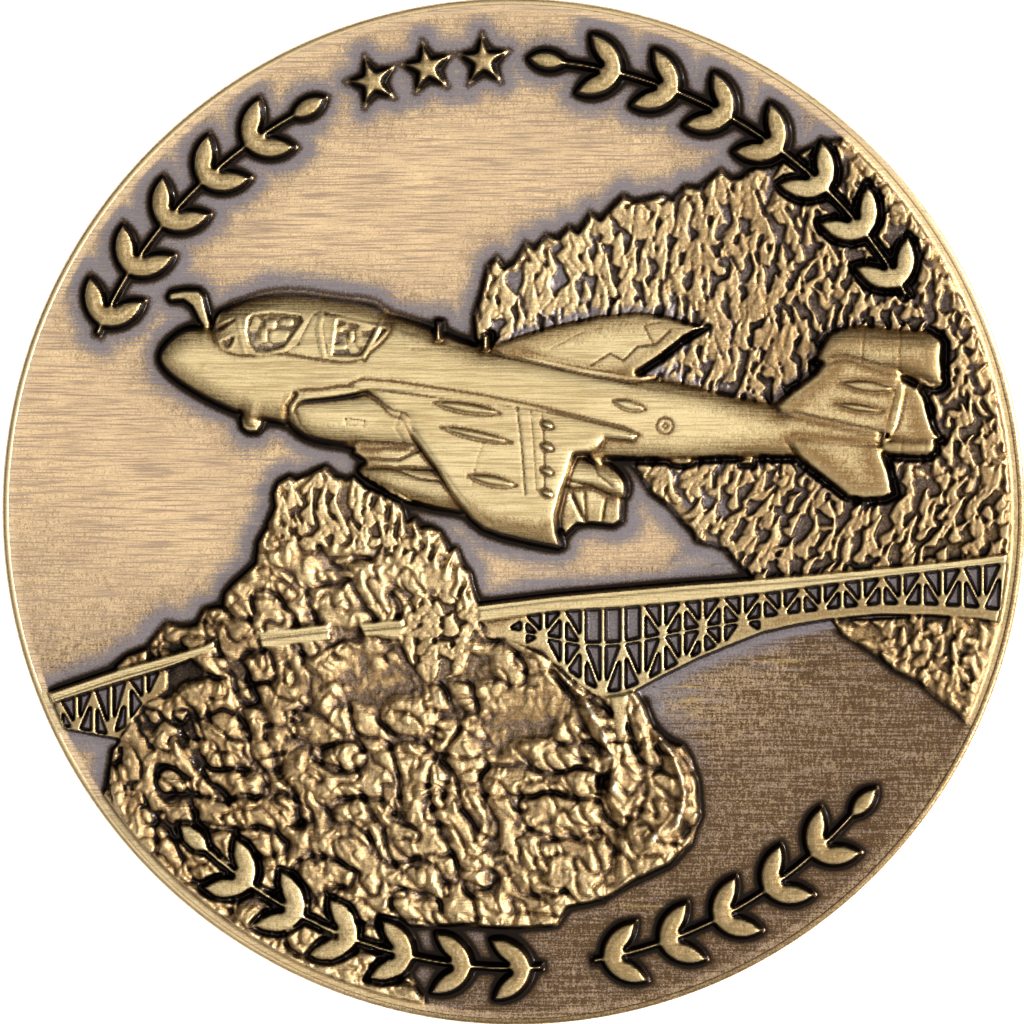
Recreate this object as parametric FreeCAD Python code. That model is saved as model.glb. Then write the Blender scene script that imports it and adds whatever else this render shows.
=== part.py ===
"""Challenge coin: a struck planchet with every sculpted relief element as its own solid.

Millimetres. The coin lies flat: the reverse border rests on z = 0 and the obverse faces +Z,
with 12 o'clock towards +Y. Relief elements share their walls and never overlap.
"""
import FreeCAD, Part
import math
import os

V = FreeCAD.Vector

# Driving dimensions of the planchet
DIAMETER = 44.45
RADIUS = DIAMETER / 2
EDGE_TOP = 2.74        # where the small obverse bevel starts on the edge
BEVEL_TOP = 2.96       # height at which the bevel would end if the dish didn't cut it
BEVEL_R = 22.00
FACE_R = 22.00         # relief that runs to the rim ends here
DISH_CENTRE = 2.50     # height of the obverse field at the centre
DISH_RISE = 0.36       # rise of the field from the centre to FACE_R
DISH_SPHERE = (FACE_R ** 2 + DISH_RISE ** 2) / (2 * DISH_RISE)

# Reverse
REVERSE_FIELD = 0.30   # depth of the reverse field above the rest plane
BORDER_INNER_R = 20.40
BORDER_OUTER_R = 21.95
REVERSE_STAR_R = 8.5
H_REVERSE_STAR = 0.22
REVERSE_WREATH_R = 16.2
REVERSE_LEAF_LENGTH = 3.0
REVERSE_LEAF_WIDTH = 1.3
H_REVERSE_WREATH = 0.20

# Heights of the relief above the field
H_HILL = 0.42
H_ROCK = 0.55
H_TREES = 0.68
H_TRUSS = 0.36
H_DECK = 0.52
H_SPRIG = 0.40
H_RIPPLE = 0.12

# Ornament ring that takes the place of an inscription
TOP_RING_R = 19.55
BOTTOM_RING_R = 19.70
LEAF_LENGTH = 2.40
LEAF_WIDTH = 1.08
LEAF_SPREAD = 35.0     # degrees between a leaf and its stem
STEM_WIDTH = 0.36
STAR_R = 1.20
STAR_WAIST = 0.45      # inner radius of a star over its outer radius


def polar(radius, degrees):
    """Point at a radius and an angle counted from +X."""
    angle = math.radians(degrees)
    return (radius * math.cos(angle), radius * math.sin(angle))


def polygon(points):
    """Planar face with straight edges."""
    corners = [V(x, y, 0) for x, y in points]
    return Part.Face(Part.makePolygon(corners + corners[:1]))


def smooth(points):
    """Planar face inside a closed smooth curve through the points."""
    curve = Part.BSplineCurve()
    curve.interpolate(Points=[V(x, y, 0) for x, y in points], PeriodicFlag=True)
    return Part.Face(Part.Wire(curve.toShape()))


def disc(x, y, radius):
    return Part.Face(Part.Wire(Part.makeCircle(radius, V(x, y, 0))))


def strip(points, width):
    """Band of a width along a bent line, with square joints filled."""
    half = width / 2
    pieces = []
    for (x0, y0), (x1, y1) in zip(points[:-1], points[1:]):
        length = math.hypot(x1 - x0, y1 - y0)
        nx = -(y1 - y0) / length * half
        ny = (x1 - x0) / length * half
        pieces.append(polygon([(x0 + nx, y0 + ny), (x1 + nx, y1 + ny),
                               (x1 - nx, y1 - ny), (x0 - nx, y0 - ny)]))
    for x, y in points[1:-1]:
        pieces.append(disc(x, y, half))
    return merge(pieces)


def merge(faces):
    """One flat shape out of overlapping faces."""
    shape = faces[0]
    if len(faces) > 1:
        shape = shape.multiFuse(faces[1:])
    return shape.removeSplitter()


def leaf(x, y, degrees, length, width):
    """Pointed leaf: two arcs from its foot to its tip."""
    angle = math.radians(degrees)
    ux, uy = math.cos(angle), math.sin(angle)
    half = width / 2
    foot = V(x, y, 0)
    tip = V(x + ux * length, y + uy * length, 0)
    mid = V(x + ux * length * 0.5, y + uy * length * 0.5, 0)
    left = mid + V(-uy * half, ux * half, 0)
    right = mid + V(uy * half, -ux * half, 0)
    return Part.Face(Part.Wire([Part.Arc(foot, left, tip).toShape(), Part.Arc(tip, right, foot).toShape()]))


def ripple(x, y, length, width):
    """Low crest on the water: a long six-sided lens centred on a point."""
    long, wide = length / 2, width / 2
    return polygon([(x - long, y), (x - long * 0.5, y - wide * 0.8), (x + long * 0.5, y - wide * 0.6),
                    (x + long, y + wide * 0.2), (x + long * 0.4, y + wide),
                    (x - long * 0.4, y + wide * 0.8)])


def arc_band(radius, width, start, end):
    """Curved band centred on the coin's axis, from one angle to another."""
    middle = (start + end) / 2
    inner, outer = radius - width / 2, radius + width / 2

    def at(reach, angle):
        return V(*polar(reach, angle), 0)

    edges = [Part.Arc(at(outer, start), at(outer, middle), at(outer, end)).toShape(),
             Part.makeLine(at(outer, end), at(inner, end)),
             Part.Arc(at(inner, end), at(inner, middle), at(inner, start)).toShape(),
             Part.makeLine(at(inner, start), at(outer, start))]
    return Part.Face(Part.Wire(edges))


def sprig(radius, start, end, pairs, length=LEAF_LENGTH, width=LEAF_WIDTH):
    """Laurel sprig along an arc: a stem, paired leaves and a tip leaf that points onward."""
    turn = 1 if end > start else -1
    step = (end - start) / (pairs + 0.6)
    pieces = [arc_band(radius, STEM_WIDTH, min(start, end), max(start, end))]
    for i in range(pairs):
        angle = start + step * (i + 0.15)
        x, y = polar(radius, angle)
        heading = angle + 90 * turn
        pieces.append(leaf(x, y, heading + LEAF_SPREAD, length, width))
        pieces.append(leaf(x, y, heading - LEAF_SPREAD, length, width))
    last = start + step * (pairs + 0.1)
    x, y = polar(radius, last)
    pieces.append(leaf(x, y, last + 90 * turn, length * 0.8, width * 0.9))
    return merge(pieces)


def star(x, y, radius, heading):
    """Five-pointed star with one point along the heading."""
    points = []
    for i in range(10):
        reach = radius if i % 2 == 0 else radius * STAR_WAIST
        dx, dy = polar(reach, heading + 36 * i)
        points.append((x + dx, y + dy))
    return polygon(points)


def dish(height):
    """Ball whose lower skin is the dished field raised by a height; its seam is far from the coin."""
    ball = Part.makeSphere(DISH_SPHERE)
    ball.rotate(V(0, 0, 0), V(1, 0, 0), 90)
    ball.translate(V(0, 0, DISH_CENTRE + height + DISH_SPHERE))
    return ball


FIELD = dish(0)


def prism(face, top):
    """Column over a flat shape, from inside the planchet up to a height."""
    shape = face.copy()
    shape.translate(V(0, 0, 2.0))
    return shape.extrude(V(0, 0, top - 2.0))


def raised(face, height):
    """Relief that follows the dished field at a constant height."""
    return prism(face, 5.0).common(FIELD).cut(dish(height))


def arched(face, ends, half_width, z_crown, z_edge):
    """Relief with a barrel-shaped top whose crest runs between two points."""
    (x0, y0), (x1, y1) = ends
    z0, z1 = z_crown
    sag = max(z0, z1) - z_edge
    radius = (half_width ** 2 + sag ** 2) / (2 * sag)
    start = V(x0, y0, z0 - radius)
    along = V(x1, y1, z1 - radius) - start
    length = along.Length
    along.normalize()
    barrel = Part.makeCylinder(radius, length + 8, start - along * 4, along)
    return prism(face, 5.0).common(FIELD).common(barrel)


def sloped(face, anchor, z_anchor, slope_x, slope_y):
    """Relief with a flat, tilted top: a height at one point and a rise per millimetre along x and y."""
    ax, ay = anchor
    reach = 30.0
    corners = []
    for x, y in ((-reach, -reach), (reach, -reach), (reach, reach), (-reach, reach)):
        corners.append(V(x, y, z_anchor + slope_x * (x - ax) + slope_y * (y - ay)))
    lid = Part.Face(Part.makePolygon(corners + corners[:1])).extrude(V(0, 0, 12))
    return prism(face, 5.0).common(FIELD).cut(lid)


def planchet():
    """Blank with a dished obverse, a bevelled edge and a flat, recessed reverse."""
    profile = [(0, REVERSE_FIELD), (BORDER_OUTER_R + 0.05, REVERSE_FIELD), (RADIUS, REVERSE_FIELD + 0.22),
               (RADIUS, EDGE_TOP), (BEVEL_R, BEVEL_TOP), (0, BEVEL_TOP)]
    corners = [V(r, 0, z) for r, z in profile]
    blank = Part.Face(Part.makePolygon(corners + corners[:1])).revolve(V(0, 0, 0), V(0, 0, 1), 360)
    return blank.cut(FIELD)


def reverse_border():
    """Raised ring on the reverse that the coin rests on."""
    profile = [(BORDER_INNER_R, REVERSE_FIELD), (BORDER_INNER_R + 0.12, 0), (BORDER_OUTER_R - 0.15, 0),
               (BORDER_OUTER_R, REVERSE_FIELD)]
    corners = [V(r, 0, z) for r, z in profile]
    return Part.Face(Part.makePolygon(corners + corners[:1])).revolve(V(0, 0, 0), V(0, 0, 1), 360)


def reverse_relief(face, height):
    """Relief that hangs from the reverse field towards the rest plane."""
    shape = face.copy()
    shape.translate(V(0, 0, REVERSE_FIELD - height))
    solids = shape.extrude(V(0, 0, height)).Solids
    if len(solids) == 1:
        return solids[0]
    return solids[0].multiFuse(solids[1:]).removeSplitter()


# Aircraft outlines, nose towards -X
FUSELAGE = smooth([(-13.6, 8.15), (-14.3, 8.0), (-14.9, 7.55), (-15.25, 7.1), (-15.35, 6.65),
                   (-15.15, 6.2), (-14.7, 5.75), (-13.9, 5.2), (-12.9, 4.65), (-11.8, 4.2),
                   (-10.4, 3.85), (-9.0, 3.6), (-6.0, 3.1), (-2.0, 2.6), (2.0, 2.35), (5.0, 2.25),
                   (8.0, 2.28), (10.5, 2.38), (13.0, 2.4), (15.35, 2.6), (16.61, 2.75), (16.7, 3.3),
                   (15.35, 3.75), (13.6, 4.15), (11.6, 4.82), (9.9, 5.15), (7.9, 5.65), (5.6, 6.1),
                   (2.6, 6.6), (0.3, 7.05), (-1.2, 7.3), (-2.6, 7.85), (-4.8, 8.6), (-7.0, 9.2),
                   (-9.5, 9.55), (-11.6, 9.1), (-12.6, 8.6)])
CANOPY = smooth([(-12.8, 7.5), (-12.3, 7.0), (-11.2, 6.8), (-10.0, 6.9), (-8.9, 6.75), (-7.9, 6.6),
                 (-6.6, 6.6), (-5.9, 7.0), (-5.1, 8.1), (-5.45, 8.9), (-7.1, 9.35), (-9.4, 9.65),
                 (-10.6, 9.55), (-11.9, 9.12), (-12.75, 8.6)])
CANOPY_FRAME = merge([strip([(-11.95, 9.12), (-11.7, 8.1), (-11.4, 6.85)], 0.26),
                      strip([(-8.0, 9.45), (-8.2, 8.0), (-7.95, 6.65)], 0.30),
                      strip([(-5.35, 8.85), (-5.75, 7.7), (-6.3, 6.65)], 0.24)])
PROBE = polygon([(-14.95, 9.3), (-14.75, 9.1), (-14.2, 9.15), (-13.85, 8.9), (-13.55, 8.3),
                 (-13.3, 7.95), (-12.9, 8.05), (-13.1, 8.8), (-13.25, 9.45), (-13.5, 9.7),
                 (-14.1, 9.72), (-14.8, 9.6)])
BELLY_AERIAL = polygon([(-11.75, 4.25), (-11.7, 3.65), (-11.4, 3.42), (-10.95, 3.42), (-10.75, 3.7),
                        (-10.65, 4.0)])
SPINE_AERIALS = merge([polygon([(-3.2, 7.4), (-2.85, 7.4), (-2.85, 8.3), (-3.2, 8.35)]),
                       polygon([(-1.15, 7.0), (-0.82, 7.0), (-0.75, 7.75), (-1.2, 7.8)])])
NACELLE = smooth([(-9.72, 4.9), (-9.2, 5.25), (-8.1, 5.35), (-7.1, 5.5), (-5.9, 5.2), (-3.6, 4.4),
                  (-2.8, 3.4), (-3.2, 2.85), (-4.6, 2.75), (-6.6, 2.75), (-8.0, 2.85), (-9.0, 3.15),
                  (-9.6, 3.7), (-9.8, 4.3)])
NEAR_WING = polygon([(-6.85, 5.6), (-6.3, 5.8), (-4.9, 5.7), (-2.9, 5.4), (-1.0, 5.1), (1.3, 4.65),
                     (3.3, 4.15), (5.1, 3.7), (5.7, 3.4), (5.4, 3.1), (4.25, 3.2), (4.0, 2.75),
                     (3.55, 2.5), (2.95, 2.45), (2.8, 2.0), (2.45, 0.9), (2.2, -0.1), (2.25, -0.8),
                     (2.45, -1.45), (2.15, -1.62), (0.9, -1.38), (-0.3, -1.1), (-1.15, -0.8),
                     (-1.7, -0.35), (-2.35, 0.55), (-3.1, 1.7), (-3.95, 2.85), (-4.6, 4.1),
                     (-5.1, 4.25), (-5.7, 4.85)])
WING_BULGES = [leaf(-3.2, 4.78, -8.8, 2.95, 0.42), leaf(-2.9, 3.72, -11.8, 3.15, 0.36),
               leaf(-1.7, 1.62, -10.8, 2.15, 0.42)]
FLAP_FAIRINGS = [leaf(1.42, y, -22, 0.62, 0.28) for y in (3.95, 3.0, 1.95, 1.0)]
FIN_BULGES = [leaf(14.3, 5.66, -7, 2.4, 0.5), leaf(14.1, 4.76, -9, 2.1, 0.36)]
FUSELAGE_BULGE = leaf(4.55, 4.86, -14, 1.45, 0.42)
ROUND_PORT = disc(6.8, 3.8, 0.34)
FAR_WING = polygon([(-0.95, 7.2), (-0.1, 7.5), (1.6, 8.05), (3.9, 8.55), (5.6, 8.72), (6.8, 8.58),
                    (8.6, 8.05), (7.6, 7.5), (6.7, 6.75), (6.0, 6.3), (5.5, 6.0), (2.6, 6.5),
                    (0.3, 6.95)])
PYLON = polygon([(-6.8, 2.95), (-6.85, 2.55), (-6.35, 2.25), (-6.2, 1.9), (-3.0, 1.9), (-3.0, 2.95)])
UNDERWING_POD = smooth([(-6.6, 1.95), (-6.3, 2.3), (-5.6, 2.4), (-4.6, 2.2), (-3.2, 2.0), (-1.7, 1.2),
                        (-1.3, 0.0), (-2.2, -0.1), (-3.3, 0.05), (-4.3, 0.35), (-5.3, 0.8),
                        (-6.15, 1.35)])
REAR_POD = smooth([(2.3, 2.35), (3.2, 2.5), (4.2, 2.3), (4.85, 1.85), (5.2, 1.2), (5.05, 0.65),
                   (4.5, 0.6), (3.9, 0.95), (3.0, 1.0), (2.2, 1.0)])
REAR_FINS = polygon([(2.2, 1.15), (4.6, 1.0), (4.95, 0.6), (4.95, -0.35), (4.55, -0.6), (3.6, -0.5),
                     (2.95, -0.55), (2.4, -1.1), (2.1, -0.4)])
FIN = polygon([(11.4, 4.7), (12.2, 5.4), (13.2, 6.15), (13.6, 6.7), (14.4, 6.9), (17.0, 6.1),
               (17.05, 5.5), (16.62, 4.6), (16.3, 3.7), (16.35, 3.35), (15.35, 3.52), (13.5, 3.92),
               (11.7, 4.3)])
FIN_POD = smooth([(13.25, 6.65), (13.4, 7.25), (13.83, 7.85), (14.6, 8.18), (15.8, 8.22), (17.2, 8.08),
                  (18.4, 7.85), (18.75, 7.5), (18.78, 6.6), (18.7, 5.45), (18.25, 5.35), (17.35, 5.75),
                  (15.8, 6.2), (14.25, 6.6), (13.6, 6.45)])
RUDDER = polygon([(16.85, 5.95), (17.75, 5.5), (18.05, 4.9), (18.35, 3.75), (18.72, 3.15), (17.3, 3.1),
                  (16.4, 3.25), (16.3, 3.75), (16.55, 4.7)])
TAIL_CONE = smooth([(16.07, 3.4), (17.24, 3.5), (18.32, 3.45), (18.5, 3.0), (18.32, 2.55), (17.51, 2.4),
                    (16.61, 2.45), (16.02, 2.8)])
TAILPLANE = polygon([(11.95, 3.25), (12.3, 3.45), (14.18, 3.3), (15.9, 3.1), (16.1, 2.9), (16.48, 2.0),
                     (16.75, 0.85), (16.25, 0.6), (15.35, 0.55), (14.63, 0.65), (14.09, 1.1),
                     (13.2, 1.75), (12.5, 2.35)])
FAIRINGS = merge([smooth([(6.6, 2.35), (7.3, 2.08), (7.9, 2.15), (8.3, 2.45), (7.3, 2.55)]),
                  polygon([(10.0, 2.1), (10.6, 2.08), (10.65, 2.45), (9.95, 2.45)])])

# Landscape outlines
FOREST_HILL = polygon([(-1.5, 7.0), (-1.55, 8.6), (-1.25, 9.4), (-0.95, 10.7), (-0.5, 11.1),
                       (-0.2, 10.6), (0.25, 10.9), (0.7, 11.7), (1.1, 11.45), (1.6, 12.05), (2.1, 11.9),
                       (2.6, 12.4), (3.0, 12.15), (3.5, 13.0), (3.95, 12.7), (4.5, 13.3), (4.95, 13.75),
                       (5.4, 13.45), (6.0, 13.6), (6.6, 13.75), (7.1, 13.55), (7.6, 14.15),
                       (8.2, 14.05), (8.7, 14.45), (9.15, 14.85), (9.6, 14.45), (10.0, 14.5),
                       (10.5, 14.95), (11.3, 14.95), (12.4, 15.5), (13.4, 15.95), (14.3, 16.1),
                       (16.5, 18.0), (24.0, 12.0), (24.0, -1.6), (21.6, -1.8), (14.0, -2.7),
                       (10.7, -2.95), (9.9, -2.2), (9.4, -1.6), (8.8, -1.35), (8.1, -1.2), (7.9, -0.75),
                       (7.5, -0.4), (6.9, 0.3), (6.1, 0.9), (5.6, 1.7), (5.3, 2.1), (5.0, 3.5),
                       (2.0, 6.0)])
RIGHT_BANK = polygon([(13.9, -4.55), (14.4, -5.2), (15.1, -5.6), (15.9, -6.1), (16.7, -6.75),
                      (17.7, -7.2), (18.4, -7.85), (19.2, -8.4), (19.8, -8.95), (20.3, -9.3),
                      (24.0, -8.0), (24.0, -4.0)])
ARCH_DECK = polygon([(-1.6, -3.95), (2.0, -3.5), (5.0, -3.22), (8.0, -2.95), (11.0, -2.72),
                     (14.0, -2.45), (17.0, -2.15), (20.0, -1.8), (22.5, -1.45), (22.5, -1.95),
                     (20.0, -2.25), (17.0, -2.62), (14.0, -3.02), (11.0, -3.45), (8.0, -3.8),
                     (5.0, -4.08), (2.0, -4.28), (-1.3, -4.75)])
MID_DECK = merge([polygon([(-10.95, -5.15), (-7.75, -4.75), (-7.7, -5.55), (-10.8, -5.95)]),
                  polygon([(-6.6, -4.75), (-4.6, -4.55), (-4.45, -4.95), (-4.7, -5.3), (-6.3, -5.42)])])
LEFT_DECK = polygon([(-22.0, -8.5), (-17.2, -6.85), (-13.3, -5.75), (-12.75, -5.45), (-12.75, -5.95),
                     (-14.7, -6.75), (-17.0, -7.45), (-22.0, -9.0)])
ISLAND_TREES = polygon([(-10.1, 1.3), (-9.6, 1.6), (-9.3, 1.45), (-8.7, 1.7), (-8.0, 2.05), (-7.6, 1.6),
                        (-7.1, 1.45), (-6.75, 1.6), (-6.2, 1.1), (-5.5, 0.85), (-5.0, 0.6),
                        (-4.7, 0.45), (-4.4, -0.35), (-4.1, -0.2), (-3.85, -0.6), (-3.4, -0.6),
                        (-3.0, -0.8), (-2.6, -1.6), (-2.3, -1.5), (-2.0, -2.3), (-1.7, -2.6),
                        (-1.5, -3.4), (-1.2, -4.3), (-1.5, -5.6), (-2.0, -7.0), (-3.6, -7.4),
                        (-4.4, -6.4), (-4.8, -5.4), (-4.2, -4.4), (-3.6, -3.4), (-3.8, -2.4),
                        (-5.2, -1.7), (-7.2, -1.5), (-9.0, -1.4), (-10.5, -1.05), (-10.6, -0.5),
                        (-10.25, 0.2), (-10.3, 0.8)])
ISLAND = polygon([(-10.6, -0.6), (-11.0, -1.3), (-11.1, -2.2), (-11.6, -2.65), (-12.1, -3.1),
                  (-12.45, -3.5), (-12.6, -4.05), (-13.35, -4.2), (-13.7, -4.85), (-14.3, -4.95),
                  (-15.0, -4.8), (-15.35, -5.2), (-15.9, -5.9), (-16.7, -6.2), (-17.3, -6.75),
                  (-16.6, -7.6), (-16.3, -8.3), (-16.9, -9.0), (-17.0, -9.75), (-17.4, -10.4),
                  (-17.65, -12.0), (-18.2, -12.9), (-21.0, -16.0), (-10.0, -24.0), (-3.4, -24.0),
                  (-3.7, -21.0), (-5.4, -18.3), (-4.2, -18.0), (-2.0, -17.95), (0.2, -18.05),
                  (2.1, -17.9), (2.6, -17.1), (4.1, -16.75), (5.5, -15.9), (7.0, -15.2), (7.9, -14.3),
                  (8.35, -13.0), (8.2, -11.5), (7.9, -10.6), (7.55, -10.0), (7.0, -9.85), (6.3, -9.2),
                  (6.0, -8.4), (5.6, -7.7), (4.2, -7.2), (2.0, -5.4), (0.0, -4.9), (-0.8, -4.8),
                  (-2.0, -4.0), (-5.0, -1.0)])
PIER = polygon([(4.3, -7.85), (5.25, -7.7), (5.2, -9.0), (5.0, -10.0), (4.6, -9.9), (4.5, -9.0)])

# Arch bridge: the truss hangs between the deck and a curved lower chord
DECK_FOOT = [(21.9, -2.02), (17.0, -2.62), (14.0, -3.02), (11.0, -3.45), (8.0, -3.8), (5.0, -4.08),
             (2.0, -4.28), (-1.3, -4.75)]
INNER_CHORD = [(21.9, -4.2), (20.0, -4.0), (18.0, -3.9), (16.0, -3.9), (14.0, -4.1), (12.0, -4.35),
               (10.0, -4.65), (8.2, -4.95), (6.5, -5.3), (5.0, -5.6), (3.4, -5.7), (1.6, -5.35),
               (-0.6, -4.95)]
CHORD_FOOT = [(21.9, -4.75), (20.0, -4.45), (18.0, -4.35), (16.0, -4.35), (14.0, -4.55), (12.5, -4.8),
              (11.0, -5.15), (9.75, -5.65), (8.3, -6.25), (6.7, -7.05), (5.6, -7.65), (4.6, -8.0),
              (3.8, -7.95), (2.5, -7.05), (1.5, -6.15), (0.6, -5.75), (-0.6, -5.3)]
TRUSS_PANEL = 0.86     # spacing of the truss posts
POST_HALF = 0.16       # half the width of a post
BRACE_HALF = 0.13      # half the width of a diagonal
PLAIN_BAYS = (2.6, 5.4)  # stretch of the arch whose bays have no diagonal
LEAST_HOLE = 0.03      # area in mm2 below which an opening is left closed

# Left span: a shallow truss behind the trees
LEFT_TOP = [(-22.0, -9.0), (-17.0, -7.45), (-14.9, -6.8)]
LEFT_FOOT = [(-22.0, -9.7), (-19.8, -9.45), (-17.0, -9.95), (-16.0, -8.5), (-14.9, -7.7)]
LEFT_PANEL = 0.75


def height_on(line, x):
    """Height of a bent line at a station."""
    points = sorted(line)
    for (x0, y0), (x1, y1) in zip(points[:-1], points[1:]):
        if x0 <= x <= x1:
            return y0 + (y1 - y0) * (x - x0) / (x1 - x0)
    raise ValueError("station outside the line")


def inset(corners, gaps):
    """Convex outline, counter-clockwise, with each edge moved inwards by its own gap."""
    lines = []
    for i, (x0, y0) in enumerate(corners):
        x1, y1 = corners[(i + 1) % len(corners)]
        length = math.hypot(x1 - x0, y1 - y0)
        dx, dy = (x1 - x0) / length, (y1 - y0) / length
        lines.append((x0 - dy * gaps[i], y0 + dx * gaps[i], dx, dy))
    moved = []
    for i, (x1, y1, dx1, dy1) in enumerate(lines):
        x0, y0, dx0, dy0 = lines[i - 1]
        cross = dx0 * dy1 - dy0 * dx1
        along = ((x1 - x0) * dy1 - (y1 - y0) * dx1) / cross
        if i and along < 0.12:
            return None
        moved.append((x0 + dx0 * along, y0 + dy0 * along))
    return moved


def area(corners):
    total = 0
    for (x0, y0), (x1, y1) in zip(corners, corners[1:] + corners[:1]):
        total += (x0 * y1 - x1 * y0) / 2
    return total


def openings(top, foot, first, last, panel, top_gap, foot_gap, plain=(0, 0)):
    """Triangular openings of a truss, bay after bay, with the diagonals leaning in turn.

    A bay that starts in the plain stretch is one upright slot.
    """
    holes = []
    for i in range(int((last - first) / panel)):
        left = first + panel * i
        right = left + panel
        a, b = (left, height_on(foot, left)), (right, height_on(foot, right))
        c, d = (right, height_on(top, right)), (left, height_on(top, left))
        if plain[0] < left < plain[1]:
            bay = [([a, b, c, d], (foot_gap, POST_HALF, top_gap, POST_HALF))]
        elif i % 2:
            bay = [([a, b, d], (foot_gap, BRACE_HALF, POST_HALF)),
                   ([b, c, d], (POST_HALF, top_gap, BRACE_HALF))]
        else:
            bay = [([a, b, c], (foot_gap, POST_HALF, BRACE_HALF)),
                   ([a, c, d], (BRACE_HALF, top_gap, POST_HALF))]
        for corners, gaps in bay:
            if area(corners) <= 0:
                continue
            hole = inset(corners, gaps)
            if hole and area(hole) > LEAST_HOLE:
                holes.append(polygon(hole))
    return holes


def truss(top, foot, holes):
    """Web between two bent lines with its openings cut out."""
    web = polygon(top + foot[::-1])
    return web.cut(Part.makeCompound(holes))


ARCH_HOLES = openings(DECK_FOOT, INNER_CHORD, -0.22, 21.5, TRUSS_PANEL, 0.04, 0.12, PLAIN_BAYS)
ARCH_HOLES += openings(INNER_CHORD, CHORD_FOOT, 0.64, 11.3, TRUSS_PANEL, 0.12, 0.30)
ARCH_TRUSS = truss(DECK_FOOT, CHORD_FOOT, ARCH_HOLES)
LEFT_TRUSS = truss(LEFT_TOP, LEFT_FOOT, openings(LEFT_TOP, LEFT_FOOT, -20.4, -15.1, LEFT_PANEL, 0.06, 0.2))
ISLAND_GROUND = ISLAND.cut(polygon(LEFT_TOP + LEFT_FOOT[::-1])).cut(polygon(DECK_FOOT + CHORD_FOOT[::-1]))

# Ornament ring: two laurel sprigs above and two below, with three stars at the top
SPRIG_UPPER_LEFT = sprig(TOP_RING_R, 157.0, 115.5, 5)
SPRIG_UPPER_RIGHT = sprig(TOP_RING_R, 28.5, 86.0, 7)
SPRIG_LOWER_LEFT = sprig(BOTTOM_RING_R, 274.5, 225.0, 6)
SPRIG_LOWER_RIGHT = sprig(BOTTOM_RING_R, 280.5, 322.0, 5)
STARS = [star(*polar(TOP_RING_R, angle), STAR_R, angle) for angle in (107.6, 100.4, 93.2)]

RIPPLES = [(8.9, -1.75, 1.3, 0.22), (9.1, -2.25, 1.2, 0.2), (7.2, -7.5, 2.0, 0.24), (7.9, -8.05, 2.2, 0.22),
           (7.3, -8.7, 1.8, 0.24), (11.6, -6.35, 2.6, 0.22), (15.0, -6.45, 1.4, 0.2), (5.9, -17.0, 2.4, 0.25)]

CANOPY_CREST = ((-12.8, 8.0), (-5.0, 7.9))

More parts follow.
